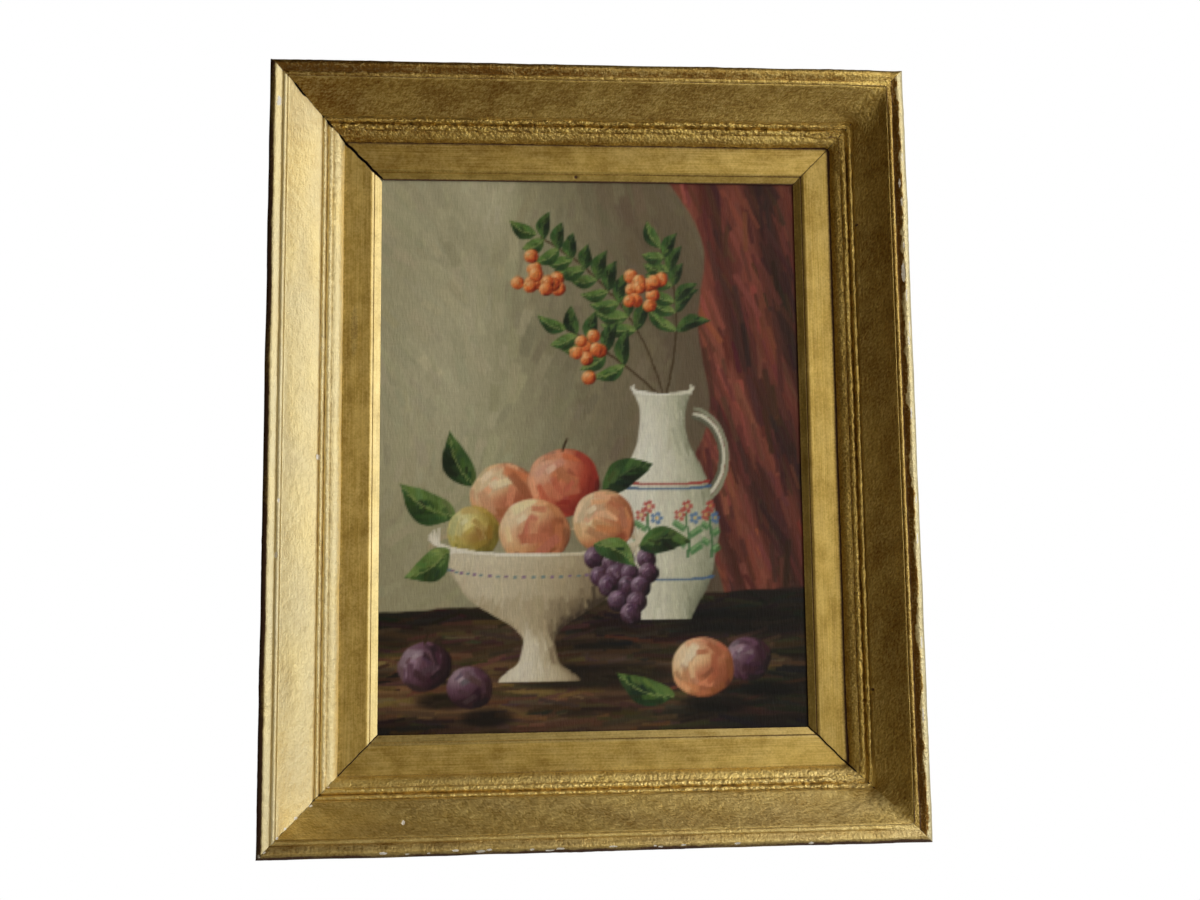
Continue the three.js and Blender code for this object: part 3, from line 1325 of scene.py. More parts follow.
        # On the right rail the outer strip is painted fresher and paler, as a painted highlight where it
        # faces the light.
        rim = facing_out * (side is Side.RIGHT)
        pale = bloom * (1 + 0.15 * broad + 0.3 * outline.per_stretch({Stretch.BAND: 1, Stretch.BEAD: 1}))
        # Crests are painted fresher and paler, as a painted highlight.
        return Surface(
            rise=rise,
            tarnish=tarnish
            + painted_corner_shade
            - 0.25 * crest
            - 0.45 * painted_glint
            + 0.1 * broad
            + outer * darker * (1 - facing_out)
            - 0.3 * rim,
            bloom=(pale + 0.15 * crest * bloom) * (1 - facing_out) + 0.8 * rim,
            dirt=dirt,
            grainy=grainy * outline.shown,
            crumbly=crumbly * (beads + 0.4 * facing_out + 0.1 * outer + 0.05 * scoop),
            lean=self.leans[side][0] * scoop,
        )

    def between(self, ends: tuple[float, float], share: np.ndarray) -> np.ndarray:
        """A value that changes evenly from a rail's low end to its high end."""
        return ends[0] + (ends[1] - ends[0]) * share


@dataclass
class Liner(RailSet):
    """The flat liner inside the moulding, with a fillet, a groove and a bevel at its inner edge.

    Attributes:
        outer: Inset and height of its outer edge; flat, fillet, quirk, bevel and lip are its further corners.
        underside: Height of the underside of the lip.
        rebate: Inset of the wall beside the canvas.
        back: Height of its back.
        quirk_dirt: Dirt in the groove at the low and high end of each side.
        painted_light_and_dulling: For each side, painted shade beside the moulding, painted shade at the
            inner edge, a pale painted
        highlight on the fillet and bevel, and dulling.
    """

    outer: tuple[float, float] = (34.8, 19.9)
    flat: tuple[float, float] = (57.2, 19.1)
    fillet: tuple[float, float] = (58.5, 18.4)
    quirk: tuple[float, float] = (58.8, 17.9)
    bevel: tuple[float, float] = (59.2, 18.2)
    lip: tuple[float, float] = (63.0, 15.7)
    underside: float = 14.9
    rebate: float = 57.0
    back: float = 8.0
    quirk_dirt: Ends = ends((0.2, 0.8), (0.0, 0.1), (0.8, 0.0), (0.9, 0.9))
    painted_light_and_dulling: Ends = ends(
        (0.3, 0.0, 0.15, 0.0), (0.25, 0.0, 0.3, 0.0), (0.9, 1.0, 0.0, 0.1), (1.5, 0.4, 0.0, 0.0)
    )

    def section(self) -> Section:
        """The liner's outline."""
        section = Section(spacing=0.8)
        section.point(Stretch.HIDDEN, self.outer[0], self.back)
        section.line(Stretch.HIDDEN, *self.outer, spacing=6)
        section.line(Stretch.FLAT, *self.flat)
        section.line(Stretch.FILLET, *self.fillet, spacing=0.45)
        section.line(Stretch.FILLET, *self.quirk)
        section.line(Stretch.BEVEL, *self.bevel)
        section.line(Stretch.BEVEL, *self.lip, spacing=0.6)
        section.line(Stretch.LIP, self.lip[0], self.underside)
        section.line(Stretch.HIDDEN, self.rebate, self.underside, spacing=3)
        section.line(Stretch.HIDDEN, self.rebate, self.back, spacing=3.5)
        section.line(Stretch.HIDDEN, self.outer[0] + 4, self.back, spacing=6)
        return section

    def surface(self, side: Side, outline: Outline, along: np.ndarray, arc: np.ndarray) -> Surface:
        """Planer ripples and a few brush ridges, dirt in the groove, and painted shade beside the moulding
        and at the inner edge.
        """
        rng = np.random.default_rng(self.seed + side.value)
        ripples = bumps(rng, along, arc, 60, 9)
        ridges = bumps(rng, along, arc, 30, 1.7)
        small = bumps(rng, along, arc, 5, 2.2)
        # Painted shade where the moulding's lip meets the liner, strongest on the right and top rails.
        shade_beside_moulding = np.exp(-np.clip(outline.inset - 40.6, 0, None) / 0.8) * outline.shown
        quirk = outline.per_stretch({Stretch.FILLET: 1.0}) * smoothstep(58.2, 58.7, outline.inset)
        share = (along - along.min()) / np.ptp(along)
        low, high = self.quirk_dirt[side]
        quirk = quirk * (low + (high - low) * share)
        moulding_shade, sight, bevel_highlight, duller = self.painted_light_and_dulling[side]
        shade_beside_moulding = shade_beside_moulding * moulding_shade
        dirt = np.clip(-ridges * 0.15, 0, 0.12) * outline.shown + shade_beside_moulding * 1.1 + quirk
        return Surface(
            rise=(ripples * 0.06 + ridges * 0.03 + small * 0.015) * outline.shown,
            tarnish=0.36 + duller + 0.1 * ripples + 0.08 * small,
            # The fillet and bevel are painted pale on the left and bottom rails, as a painted highlight.
            bloom=outline.per_stretch({Stretch.FLAT: 0.05, Stretch.FILLET: bevel_highlight, Stretch.BEVEL: bevel_highlight}),
            # The lip's face is painted dark, and on the top and right rails so is the inner edge, as painted
            # shade.
            dirt=dirt + outline.per_stretch({Stretch.LIP: 1}) + smoothstep(62, 62.8, outline.inset) * sight,
            grainy=np.full_like(ripples, 0.35),
            crumbly=np.zeros_like(ripples),
            lean=np.zeros_like(ripples),
        )


# ------------------------------------------------------------------------------------------------ painting


@dataclass(frozen=True)
class Ramp:
    """Paint mixed from shadow to highlight: sRGB hex colours, evenly spaced from dark to light."""

    colours: tuple[str, ...]

    def at(self, light: np.ndarray) -> np.ndarray:
        """The paint for each amount of light from 0 to 1, as sRGB values."""
        steps = np.linspace(0, 1, len(self.colours))
        table = np.array([srgb(code) for code in self.colours])
        return np.stack([np.interp(light, steps, table[:, channel]) for channel in range(3)], axis=-1)


class Easel:
    """The canvas while it is painted: a fine grid of colour and paint thickness.

    Attributes:
        x: Distance of each cell to the right of the picture's middle, in mm.
        z: Distance of each cell above it.
        colour: sRGB colour of each cell.
        body: Thickness of the paint in each cell, in mm.
        tremble: Unevenness of the drawn edges, from -1 to 1.
    """

    CELL = 0.5
    LIGHT = np.array([-0.62, 0.55, 0.56])

    def __init__(self, width: float, height: float, seed: int) -> None:
        """Primes the canvas.

        Args:
            width: Width of the painted area in mm.
            height: Height of the painted area in mm.
            seed: Seed of the brush's random wander.
        """
        self.rng = np.random.default_rng(seed)
        columns, rows = round(width / self.CELL) + 1, round(height / self.CELL) + 1
        self.left, self.low = -width / 2, -height / 2
        self.x, self.z = np.meshgrid(
            self.left + np.arange(columns) * self.CELL, self.low + np.arange(rows) * self.CELL
        )
        self.tremble = bumps(self.rng, self.x, self.z, 7, 7)
        self.colour = np.tile(srgb("#6E5F48"), (rows, columns, 1))
        self.body = np.zeros((rows, columns))

    def lay(
        self,
        mask: np.ndarray,
        paint: np.ndarray,
        angle: np.ndarray | float,
        size: tuple[float, float],
        coverage: float = 1.5,
        wander: float = 0.06,
        thickness: float = 0.12,
    ) -> None:
        """Fills a shape with paint and works it over with strokes.

        Args:
            mask: How much of each cell the shape covers, from 0 to 1.
            paint: The intended colour of each cell.
            angle: Direction of the strokes, in radians from the X axis, for each cell or for all.
            size: Length and width of a stroke, in mm.
            coverage: How many layers of strokes there are.
            wander: How far a stroke's colour strays from the intended one.
            thickness: Thickness of a stroke, in mm.
        """
        self.colour += (paint - self.colour) * mask[..., None]
        self.body *= 1 - 0.7 * mask
        rows, columns = np.nonzero(mask > 0.5)
        if not len(rows):
            return
        count = max(3, round(coverage * len(rows) * self.CELL**2 / (size[0] * size[1])))
        directions = np.broadcast_to(angle, mask.shape)
        drift = size[1] * 0.8 / self.CELL
        for pick in self.rng.integers(0, len(rows), count):
            row, column = rows[pick], columns[pick]
            off_row = int(np.clip(row + self.rng.normal(0, drift), 0, mask.shape[0] - 1))
            off_column = int(np.clip(column + self.rng.normal(0, drift), 0, mask.shape[1] - 1))
            source = (off_row, off_column) if mask[off_row, off_column] > 0.5 else (row, column)
            tint = paint[source] * (1 + self.rng.normal(0, wander)) + self.rng.normal(0, wander / 6, 3)
            turn = directions[row, column] + self.rng.normal(0, 0.15)
            grow = self.rng.uniform(0.6, 1.3)
            self.stroke(
                row, column, turn, (size[0] * grow, size[1] * grow), np.clip(tint, 0, 1), mask, thickness
            )

    def stroke(
        self,
        row: int,
        column: int,
        angle: float,
        size: tuple[float, float],
        tint: np.ndarray,
        mask: np.ndarray | None,
        thickness: float,
    ) -> None:
        """Lays one brush stroke.

        Args:
            row: Row of its middle.
            column: Column of its middle.
            angle: Its direction, in radians from the X axis.
            size: Its length and width, in mm.
            tint: Its sRGB colour.
            mask: The shape that it must stay in, or None.
            thickness: Its thickness in mm.
        """
        reach = int((size[0] + size[1]) / 2 / self.CELL) + 1
        rows = slice(max(0, row - reach), row + reach + 1)
        columns = slice(max(0, column - reach), column + reach + 1)
        east = self.x[rows, columns] - self.x[row, column]
        north = self.z[rows, columns] - self.z[row, column]
        along = east * math.cos(angle) + north * math.sin(angle)
        across = north * math.cos(angle) - east * math.sin(angle)
        end = 1 - smoothstep(size[0] / 2 - size[1] / 2, size[0] / 2, np.abs(along))
        edge = 1 - smoothstep(size[1] * 0.3, size[1] * 0.5, np.abs(across))
        phase = self.rng.uniform(0, 6.3, 2)
        bristles = 0.5 + 0.25 * np.sin(across * 3.9 + phase[0]) + 0.25 * np.sin(across * 7.3 + phase[1])
        cover = end * edge * (0.65 + 0.3 * bristles)
        if mask is not None:
            cover = cover * mask[rows, columns]
        self.colour[rows, columns] += (tint - self.colour[rows, columns]) * cover[..., None]
        self.body[rows, columns] += (thickness * (0.5 + bristles) - self.body[rows, columns]) * cover

    def dab(
        self, x: float, z: float, angle: float, size: tuple[float, float], code: str, thickness: float = 0.2
    ) -> None:
        """Lays one stroke of one colour at a place in mm."""
        row = int(round((z - self.low) / self.CELL))
        column = int(round((x - self.left) / self.CELL))
        if 0 <= row < self.x.shape[0] and 0 <= column < self.x.shape[1]:
            self.stroke(row, column, angle, size, srgb(code), None, thickness)

    def shade(self, across: np.ndarray, up: np.ndarray) -> np.ndarray:
        """Light on a rounded form, from its normal's parts to the right and up."""
        front = np.sqrt(np.clip(1 - across**2 - up**2, 0, 1))
        light = across * self.LIGHT[0] + up * self.LIGHT[1] + front * self.LIGHT[2]
        return np.clip(0.5 * light + 0.42, 0, 1)

    def soft_mask(self, inside: np.ndarray, blur: float = 0.7) -> np.ndarray:
        """Turns a signed distance in mm, positive inside, into a mask with a soft, hand-drawn edge."""
        return smoothstep(-blur, blur, inside + 0.5 * self.tremble)

    def cast_shadow(self, x: float, z: float, size: tuple[float, float], depth: float) -> None:
        """Darkens an ellipse, as a shadow lying on the table.

        Args:
            x: Its middle.
            z: Its middle.
            size: Its half width and half height.
            depth: How dark it is, from 0 to 1.
        """
        away = np.hypot((self.x - x) / size[0], (self.z - z) / size[1])
        shadow = depth * (1 - smoothstep(0.55, 1.15, away))
        self.colour *= 1 - shadow[..., None]


@dataclass(frozen=True)
class Fruit:
    """A round fruit: its middle, half width and half height in mm, its paints, its blush and its seam."""

    x: float
    z: float
    half_width: float
    half_height: float
    flesh: Ramp
    blush: str = ""
    lean: float = 0.0
    stalk: bool = False

    def paint(self, easel: Easel) -> None:
        """Paints the fruit with strokes that follow its roundness."""
        east, north = easel.x - self.x, easel.z - self.z
        across = (east * math.cos(self.lean) + north * math.sin(self.lean)) / self.half_width
        up = (north * math.cos(self.lean) - east * math.sin(self.lean)) / self.half_height
        radius = np.hypot(across, up)
        mask = easel.soft_mask((1 - radius) * min(self.half_width, self.half_height))
        light = easel.shade(across, up)
        colour = self.flesh.at(light)
        if self.blush:
            rosy = smoothstep(-0.5, 0.6, across * 0.7 - up * 0.2 + 0.25 * np.sin(up * 5 + self.x))
            rosy = rosy * 0.65 * np.clip(light * 1.6, 0, 1)
            flush = srgb(self.blush) * (0.45 + 0.7 * light[..., None])
            colour = colour + (flush - colour) * rosy[..., None]
        angle = np.arctan2(up, across) + math.pi / 2
        easel.lay(mask, colour, angle, (self.half_width * 0.75, self.half_width * 0.26), 2.0, 0.09)
        easel.dab(
            self.x - 0.36 * self.half_width,
            self.z + 0.4 * self.half_height,
            0.6,
            (self.half_width * 0.4, self.half_width * 0.2),
            self.flesh.colours[-1],
            0.3,
        )
        if self.stalk:
            for step in range(4):
                x, z = self.x + step * 0.6, self.z + self.half_height + step * 1.7
                easel.dab(x, z, 1.2, (4, 1.6), "#3A2A18")


@dataclass(frozen=True)
class Leaf:
    """A pointed leaf: its foot, direction, length and width in mm, and how much light it gets."""

    x: float
    z: float
    angle: float
    length: float
    width: float
    light: float = 0.5

    GREENS = Ramp(("#131C10", "#24381D", "#3D5B2C", "#62803E", "#93A55E"))

    def paint(self, easel: Easel) -> None:
        """Paints the two halves in different greens, and the rib between them."""
        east, north = easel.x - self.x, easel.z - self.z
        along = (east * math.cos(self.angle) + north * math.sin(self.angle)) / self.length
        bend = 0.12 * self.length * np.sin(np.clip(along, 0, 1) * math.pi)
        across = north * math.cos(self.angle) - east * math.sin(self.angle) - bend
        half = self.width / 2 * np.sin(np.clip(along, 0, 1) ** 0.8 * math.pi)
        mask = easel.soft_mask(half - np.abs(across), 0.5) * (np.abs(along - 0.5) < 0.5)
        side = np.where(across > 0, 0.2, -0.16) * (1 if math.cos(self.angle) > 0 else -1)
        tone = self.light + side + 0.1 * np.sin(along * 9)
        easel.lay(
            mask,
            self.GREENS.at(np.clip(tone, 0, 1)),
            self.angle + np.where(across > 0, 0.5, -0.5),
            (self.width * 0.5, self.width * 0.16),
            2.0,
            0.1,
        )
        for step in range(7):
            share = 0.08 + step * 0.13
            bow = 0.12 * self.length * math.sin(share * math.pi)
            easel.dab(
                self.x + share * self.length * math.cos(self.angle) - bow * math.sin(self.angle),
                self.z + share * self.length * math.sin(self.angle) + bow * math.cos(self.angle),
                self.angle,
                (self.length * 0.17, 1.0),
                "#8E9B5A" if self.light > 0.4 else "#4E6236",
            )


@dataclass(frozen=True)
class Vessel:
    """A turned pot: its axis, its profile's heights and half widths in mm, its glaze and its rim's tilt."""

    x: float
    heights: tuple[float, ...]
    halves: tuple[float, ...]
    glaze: Ramp
    tilt: float = 0.16

    def half_at(self, z: np.ndarray) -> np.ndarray:
        """Half width at each height, rounded between the named ones, and below 0 past the ends."""
        knots = np.linspace(self.heights[0], self.heights[-1], 80)
        raw = np.interp(knots, self.heights, self.halves)
        kernel = np.hanning(13) / np.hanning(13).sum()
        soft = np.convolve(np.pad(raw, 6, mode="edge"), kernel, mode="valid")
        return np.where((z >= knots[0]) & (z <= knots[-1]), np.interp(z, knots, soft), -5)

    def rim(self, easel: Easel, front: bool) -> None:
        """Paints the far or the near half of the rim.

        Args:
            easel: The easel that holds the canvas.
            front: Whether to paint the near half.
        """
        top, half = self.heights[-1], self.halves[-1]
        sign = -1 if front else 1
        for turn in np.linspace(0, math.pi, max(14, round(half * 1.1))):
            easel.dab(
                self.x + half * math.cos(turn),
                top + sign * self.tilt * half * math.sin(turn),
                math.atan2(sign * self.tilt * math.cos(turn), -math.sin(turn)),
                (half * 0.28 + 2, 2.0 if front else 1.3),
                self.glaze.colours[-1 if math.cos(turn) < 0.1 else 3] if front else self.glaze.colours[2],
            )

    def paint(self, easel: Easel) -> None:
        """Paints the body, lit from the left, below its near rim."""
        half = self.half_at(easel.z)
        across = (easel.x - self.x) / np.maximum(half, 1e-3)
        brim = self.tilt * np.sqrt(np.clip(self.halves[-1] ** 2 - (easel.x - self.x) ** 2, 0, None))
        below = self.heights[-1] - brim - easel.z
        mask = easel.soft_mask(np.minimum(half - np.abs(easel.x - self.x), below))
        slope = np.gradient(half, axis=0) / easel.CELL
        up = np.clip(-slope * 0.5, -0.6, 0.5)
        light = easel.shade(np.clip(across, -1, 1) * 0.95, up)
        easel.lay(mask, self.glaze.at(light), math.pi / 2 + 0.3 * across, (11, 2.6), 1.4, 0.02, 0.05)
        self.rim(easel, front=True)


class StillLife:
    """The picture: fruit in a footed bowl and a berry branch in a jug, before a wall and a drape."""

    WALL = Ramp(("#5A4A3A", "#74674F", "#918A6C", "#ACA684", "#C4BE9E"))
    DRAPE = Ramp(("#35201A", "#5C2E25", "#854637", "#AA6A50"))
    TABLE = Ramp(("#1A140E", "#33271A", "#523C28", "#7C5C3A", "#AC8652"))
    CREAM = Ramp(("#5C5E4C", "#97997F", "#C5C4A9", "#E2DFC9", "#F6F4E6"))
    BOWL = Ramp(("#4A3D2F", "#857458", "#BBAA88", "#DED2B4", "#F5EEDB"))
    PEACH = Ramp(("#5A2E1C", "#A4603A", "#D99A66", "#F0C592", "#FBE7C4"))
    PEAR = Ramp(("#3D3614", "#7B7128", "#B3A546", "#D9CB76", "#F4EDBC"))
    PLUM = Ramp(("#140B0D", "#26141B", "#42252F", "#6C4B5C", "#B9A5AE"))
    GRAPE = Ramp(("#0F090D", "#20131B", "#39212D", "#5F4156", "#B8A4B4"))
    APPLE = Ramp(("#3A0F0C", "#7C231A", "#B34832", "#DB8A64", "#F6CDAE"))
    BERRY = Ramp(("#4A140A", "#8E2E14", "#CC5A28", "#EB9250", "#FBD6A0"))

    def __init__(self, easel: Easel) -> None:
        """Takes the easel that holds the canvas."""
        self.easel = easel

    def paint(self) -> None:
        """Paints from the wall forward."""
        self.wall()
        self.drape()
        self.table()
        self.branch()
        self.jug()
        self.bowl()
        self.foreground()

    def wall(self) -> None:
        """A plastered wall, light on the left and brown towards the right and the table."""
        easel = self.easel
        clouds = bumps(easel.rng, easel.x, easel.z, 34, 52)
        light = 0.86 - 0.66 * smoothstep(-95, 85, easel.x + 0.25 * easel.z)
        light = light - 0.18 * smoothstep(60, -90, easel.z)
        light = light + 0.08 * clouds + 0.07 * smoothstep(40, 160, easel.z)
        whole = np.ones_like(easel.x)
        sweep = math.pi / 2 + 0.7 * bumps(easel.rng, easel.x, easel.z, 45, 60)
        easel.lay(whole, self.WALL.at(np.clip(light, 0, 1)), sweep, (20, 7.0), 2.0, 0.03, 0.08)
        scumble = smoothstep(0.1, 0.9, bumps(easel.rng, easel.x, easel.z, 26, 44))
        scumble = scumble * smoothstep(30, -70, easel.x)
        paler = self.WALL.at(np.clip(light + 0.22, 0, 1))
        easel.lay(scumble * 0.7, paler, sweep, (14, 4.0), 0.8, 0.03, 0.12)

    def drape(self) -> None:
        """A dark red-brown drape that falls in curved folds from the top right corner."""
        easel = self.easel
        edge = 62 + 20 * np.sin((easel.z - 30) / 62) - 0.22 * (easel.z - 60) + 5 * np.sin(easel.z / 17)
        depth = easel.x - edge
        mask = easel.soft_mask(depth, 1.2) * smoothstep(-104, -98, easel.z)
        folds = 0.5 + 0.5 * np.sin((easel.x + 0.32 * easel.z + 7 * np.sin(easel.z / 40)) / 5.2)
        light = 0.25 + 0.5 * folds - 0.25 * smoothstep(10, 70, depth)
        lean = math.pi / 2 + 0.3
        easel.lay(mask, self.DRAPE.at(np.clip(light, 0, 1)), lean, (26, 3.6), 2.2, 0.1)

    def table(self) -> None:
        """A worn table top with warm lights along its grain and a dark front edge."""
        easel = self.easel
        back = -98 + 0.05 * (easel.x + 130)
        mask = easel.soft_mask(back - easel.z, 0.8)
        grain = bumps(easel.rng, easel.x, easel.z, 70, 5.5)
        grain = grain + 0.6 * bumps(easel.rng, easel.x, easel.z, 30, 2.2)
        light = 0.36 + 0.30 * grain - 0.2 * smoothstep(0, 120, easel.x)
        front = smoothstep(-158, -161, easel.z + 0.02 * easel.x)
        light = light - 0.3 * front
        easel.lay(mask, self.TABLE.at(np.clip(light, 0, 1)), 0.02, (26, 2.8), 2.4, 0.16)

    def branch(self) -> None:
        """A branch with pinnate leaves and drooping clusters of orange berries, in the jug."""
        easel = self.easel
        for start, control, end, leaves in (
            ((44, 34), (30, 100), (-34, 136), 9),
            ((46, 34), (62, 92), (44, 128), 6),
            ((42, 34), (14, 62), (-16, 76), 4),
        ):
            steps = 26
            places = []
            for step in range(steps + 1):
                t = step / steps
                weights = ((1 - t) ** 2, 2 * t * (1 - t), t * t)
                x, z = (sum(w * p[axis] for w, p in zip(weights, (start, control, end))) for axis in (0, 1))
                places.append((x, z))
            for (x, z), (next_x, next_z) in zip(places, places[1:]):
                easel.dab(x, z, math.atan2(next_z - z, next_x - x), (7, 1.7), "#4A3A24", 0.2)
            for number in range(leaves):
                share = 0.34 + 0.66 * (number + 0.5) / leaves
                index = min(int(share * steps), steps - 1)
                (x, z), (next_x, next_z) = places[index], places[index + 1]
                heading = math.atan2(next_z - z, next_x - x)
                for turn, light in ((0.95, 0.62), (-0.95, 0.36)):
                    length = 25 - 9 * share + easel.rng.uniform(-2, 2)
                    Leaf(x, z, heading + turn + easel.rng.normal(0, 0.12), length, 9, light).paint(easel)
            Leaf(*end, heading, 20, 9, 0.55).paint(easel)
        for x, z, count in ((-30, 104, 15), (34, 100, 13), (-6, 60, 9)):
            for _ in range(count):
                shift = easel.rng.normal(0, (7.5, 6.0))
                Fruit(x + shift[0], z + shift[1], 4.2, 4.2, self.BERRY).paint(easel)

    def jug(self) -> None:
        """A cream jug with blue bands and berry sprigs, behind the bowl."""
        easel = self.easel
        jug = Vessel(
            x=44,
            heights=(-104, -98, -78, -48, -18, 4, 22, 34, 38),
            halves=(15, 18, 29, 34, 27, 15.5, 13.5, 17, 18),
            glaze=self.CREAM,
        )
        easel.cast_shadow(92, -106, (52, 9), 0.55)
        for turn in np.linspace(-1.25, 1.35, 30):
            for ring, code in ((24, "#97997F"), (21.5, "#E2DFC9"), (19.5, "#6B6C58")):
                easel.dab(
                    jug.x + 17 + ring * 0.95 * math.cos(turn),
                    -4 + ring * 1.25 * math.sin(turn),
                    turn + math.pi / 2,
                    (7, 2.6),
                    code,
                )
        jug.paint(easel)
        for height, code in ((-78, "#4F6A8C"), (-22, "#4F6A8C"), (-19, "#A5413A")):
            half = float(jug.half_at(np.array(height)))
            for share in np.linspace(-0.95, 0.95, 34):
                east = half * math.sin(share * math.pi / 2)
                sag = -2.2 * math.cos(share * math.pi / 2)
                easel.dab(jug.x + east, height + sag, 0.04 * east / half, (4, 1.6), code, 0.1)
        for share in (-0.68, -0.2, 0.3, 0.72):
            half = float(jug.half_at(np.array(-48)))
            self.sprig(jug.x + half * math.sin(share * math.pi / 2) * 0.94, -50, math.cos(share * 1.3))

    def sprig(self, x: float, z: float, turned: float) -> None:
        """A sprig on the jug: a stem, four leaves and three small flowers.

        Args:
            x: Its middle.
            z: Its middle.
            turned: How narrow it looks, from 0 at the jug's edge to 1 in front.
        """
        easel = self.easel
        for step in range(6):
            easel.dab(x + 0.8 * math.sin(step), z - 14 + step * 4.6, math.pi / 2, (6, 1.8), "#3F6E40", 0.1)
        for lift, spread in ((-11, 1), (-7, -1), (-1, 1), (3, -1)):
            leaf_x = x + spread * 5.4 * turned
            easel.dab(leaf_x, z + lift, spread * 0.6, (11 * turned + 1, 5.0), "#437A42", 0.15)
            easel.dab(leaf_x, z + lift + 0.8, spread * 0.6, (7 * turned + 1, 1.9), "#8FB27A", 0.1)
        for lift, spread, code in ((15, 0, "#B23A34"), (8, 5.0, "#4A6FA5"), (10, -5.0, "#B8473C")):
            for petal in range(5):
                turn = petal * 1.257
                side = (x + (spread + 2.6 * math.cos(turn)) * turned, z + lift + 2.6 * math.sin(turn))
                easel.dab(*side, turn, (3.8, 3.0), code, 0.2)
            easel.dab(x + spread * turned, z + lift, 0, (2.2, 2.2), "#E2B04A", 0.2)

    def bowl(self) -> None:
        """A footed bowl heaped with peaches, an apple, a pear, grapes and leaves."""
        easel = self.easel
        bowl = Vessel(
            x=-34,
            heights=(-140, -137, -131, -114, -106, -92, -70, -60, -56),
            halves=(25, 25, 13, 8.5, 17, 41, 56, 60, 60),
            glaze=self.BOWL,
            tilt=0.13,
        )
        easel.cast_shadow(2, -138, (64, 9), 0.6)
        for leaf in (
            Leaf(-84, -40, 2.6, 40, 20, 0.6),
            Leaf(-72, -22, 2.0, 38, 18, 0.42),
            Leaf(6, -26, 0.5, 36, 18, 0.3),
        ):
            leaf.paint(easel)
        bowl.rim(easel, front=False)
        for fruit in (
            Fruit(-54, -28, 21, 20, self.PEACH, "#B4432F"),
            Fruit(-18, -20, 22, 21, self.APPLE, "", 0.1, True),
            Fruit(6, -44, 19, 19, self.PEACH, "#C25A3C"),
            Fruit(-73, -50, 16, 16, self.PEAR, "#A86A34"),
            Fruit(-36, -50, 22, 20, self.PEACH, "#B84A34"),
        ):
            fruit.paint(easel)
        bowl.paint(easel)
        for share in np.linspace(-0.92, 0.92, 30):
            easel.dab(
                bowl.x + 57 * math.sin(share * math.pi / 2),
                -70 - 7.5 * math.cos(share * math.pi / 2),
                0.12 * share,
                (3.2, 2.0),
                "#7A5A8A" if int(share * 16) % 2 else "#5C7F8A",
                0.1,
            )
        self.grapes(16, -68, 5, 6.4)
        for leaf in (
            Leaf(-88, -60, 3.7, 32, 17, 0.66),
            Leaf(0, -58, -0.5, 30, 15, 0.6),
            Leaf(28, -60, 0.1, 32, 16, 0.4),
        ):
            leaf.paint(easel)

    def grapes(self, x: float, z: float, rows: int, radius: float) -> None:
        """A bunch of dark grapes that hangs over the rim.

        Args:
            x: Middle of its top row.
            z: Height of its top row.
            rows: How many rows it has.
            radius: Radius of one grape.
        """
        easel = self.easel
        for row in range(rows):
            count = rows - row if row else rows - 1
            for place in range(count):
                shift = (place - (count - 1) / 2) * radius * 1.5
                wander = easel.rng.uniform(-1.8, 1.8, 2)
                Fruit(
                    x + shift + wander[0] + row * 1.4,
                    z - row * radius * 1.3 + wander[1],
                    radius,
                    radius * 1.05,
                    self.GRAPE,
                ).paint(easel)

    def foreground(self) -> None:
        """Plums, a peach and a leaf on the front of the table."""
        easel = self.easel
        for x, z, size in ((-98, -142, 22), (-74, -152, 18), (66, -146, 24), (97, -138, 18)):
            easel.cast_shadow(x + 9, z - 9, (size, 6), 0.6)
        Leaf(48, -150, 2.75, 38, 17, 0.5).paint(easel)
        for fruit in (
            Fruit(-102, -130, 16, 14.5, self.PLUM, "", 0.3, True),
            Fruit(-76, -143, 14, 12.5, self.PLUM, "", -0.2),
            Fruit(94, -128, 14, 13, self.PLUM, "", 0.2),
            Fruit(66, -133, 19, 18, self.PEACH, "#B4432F"),
        ):
            fruit.paint(easel)


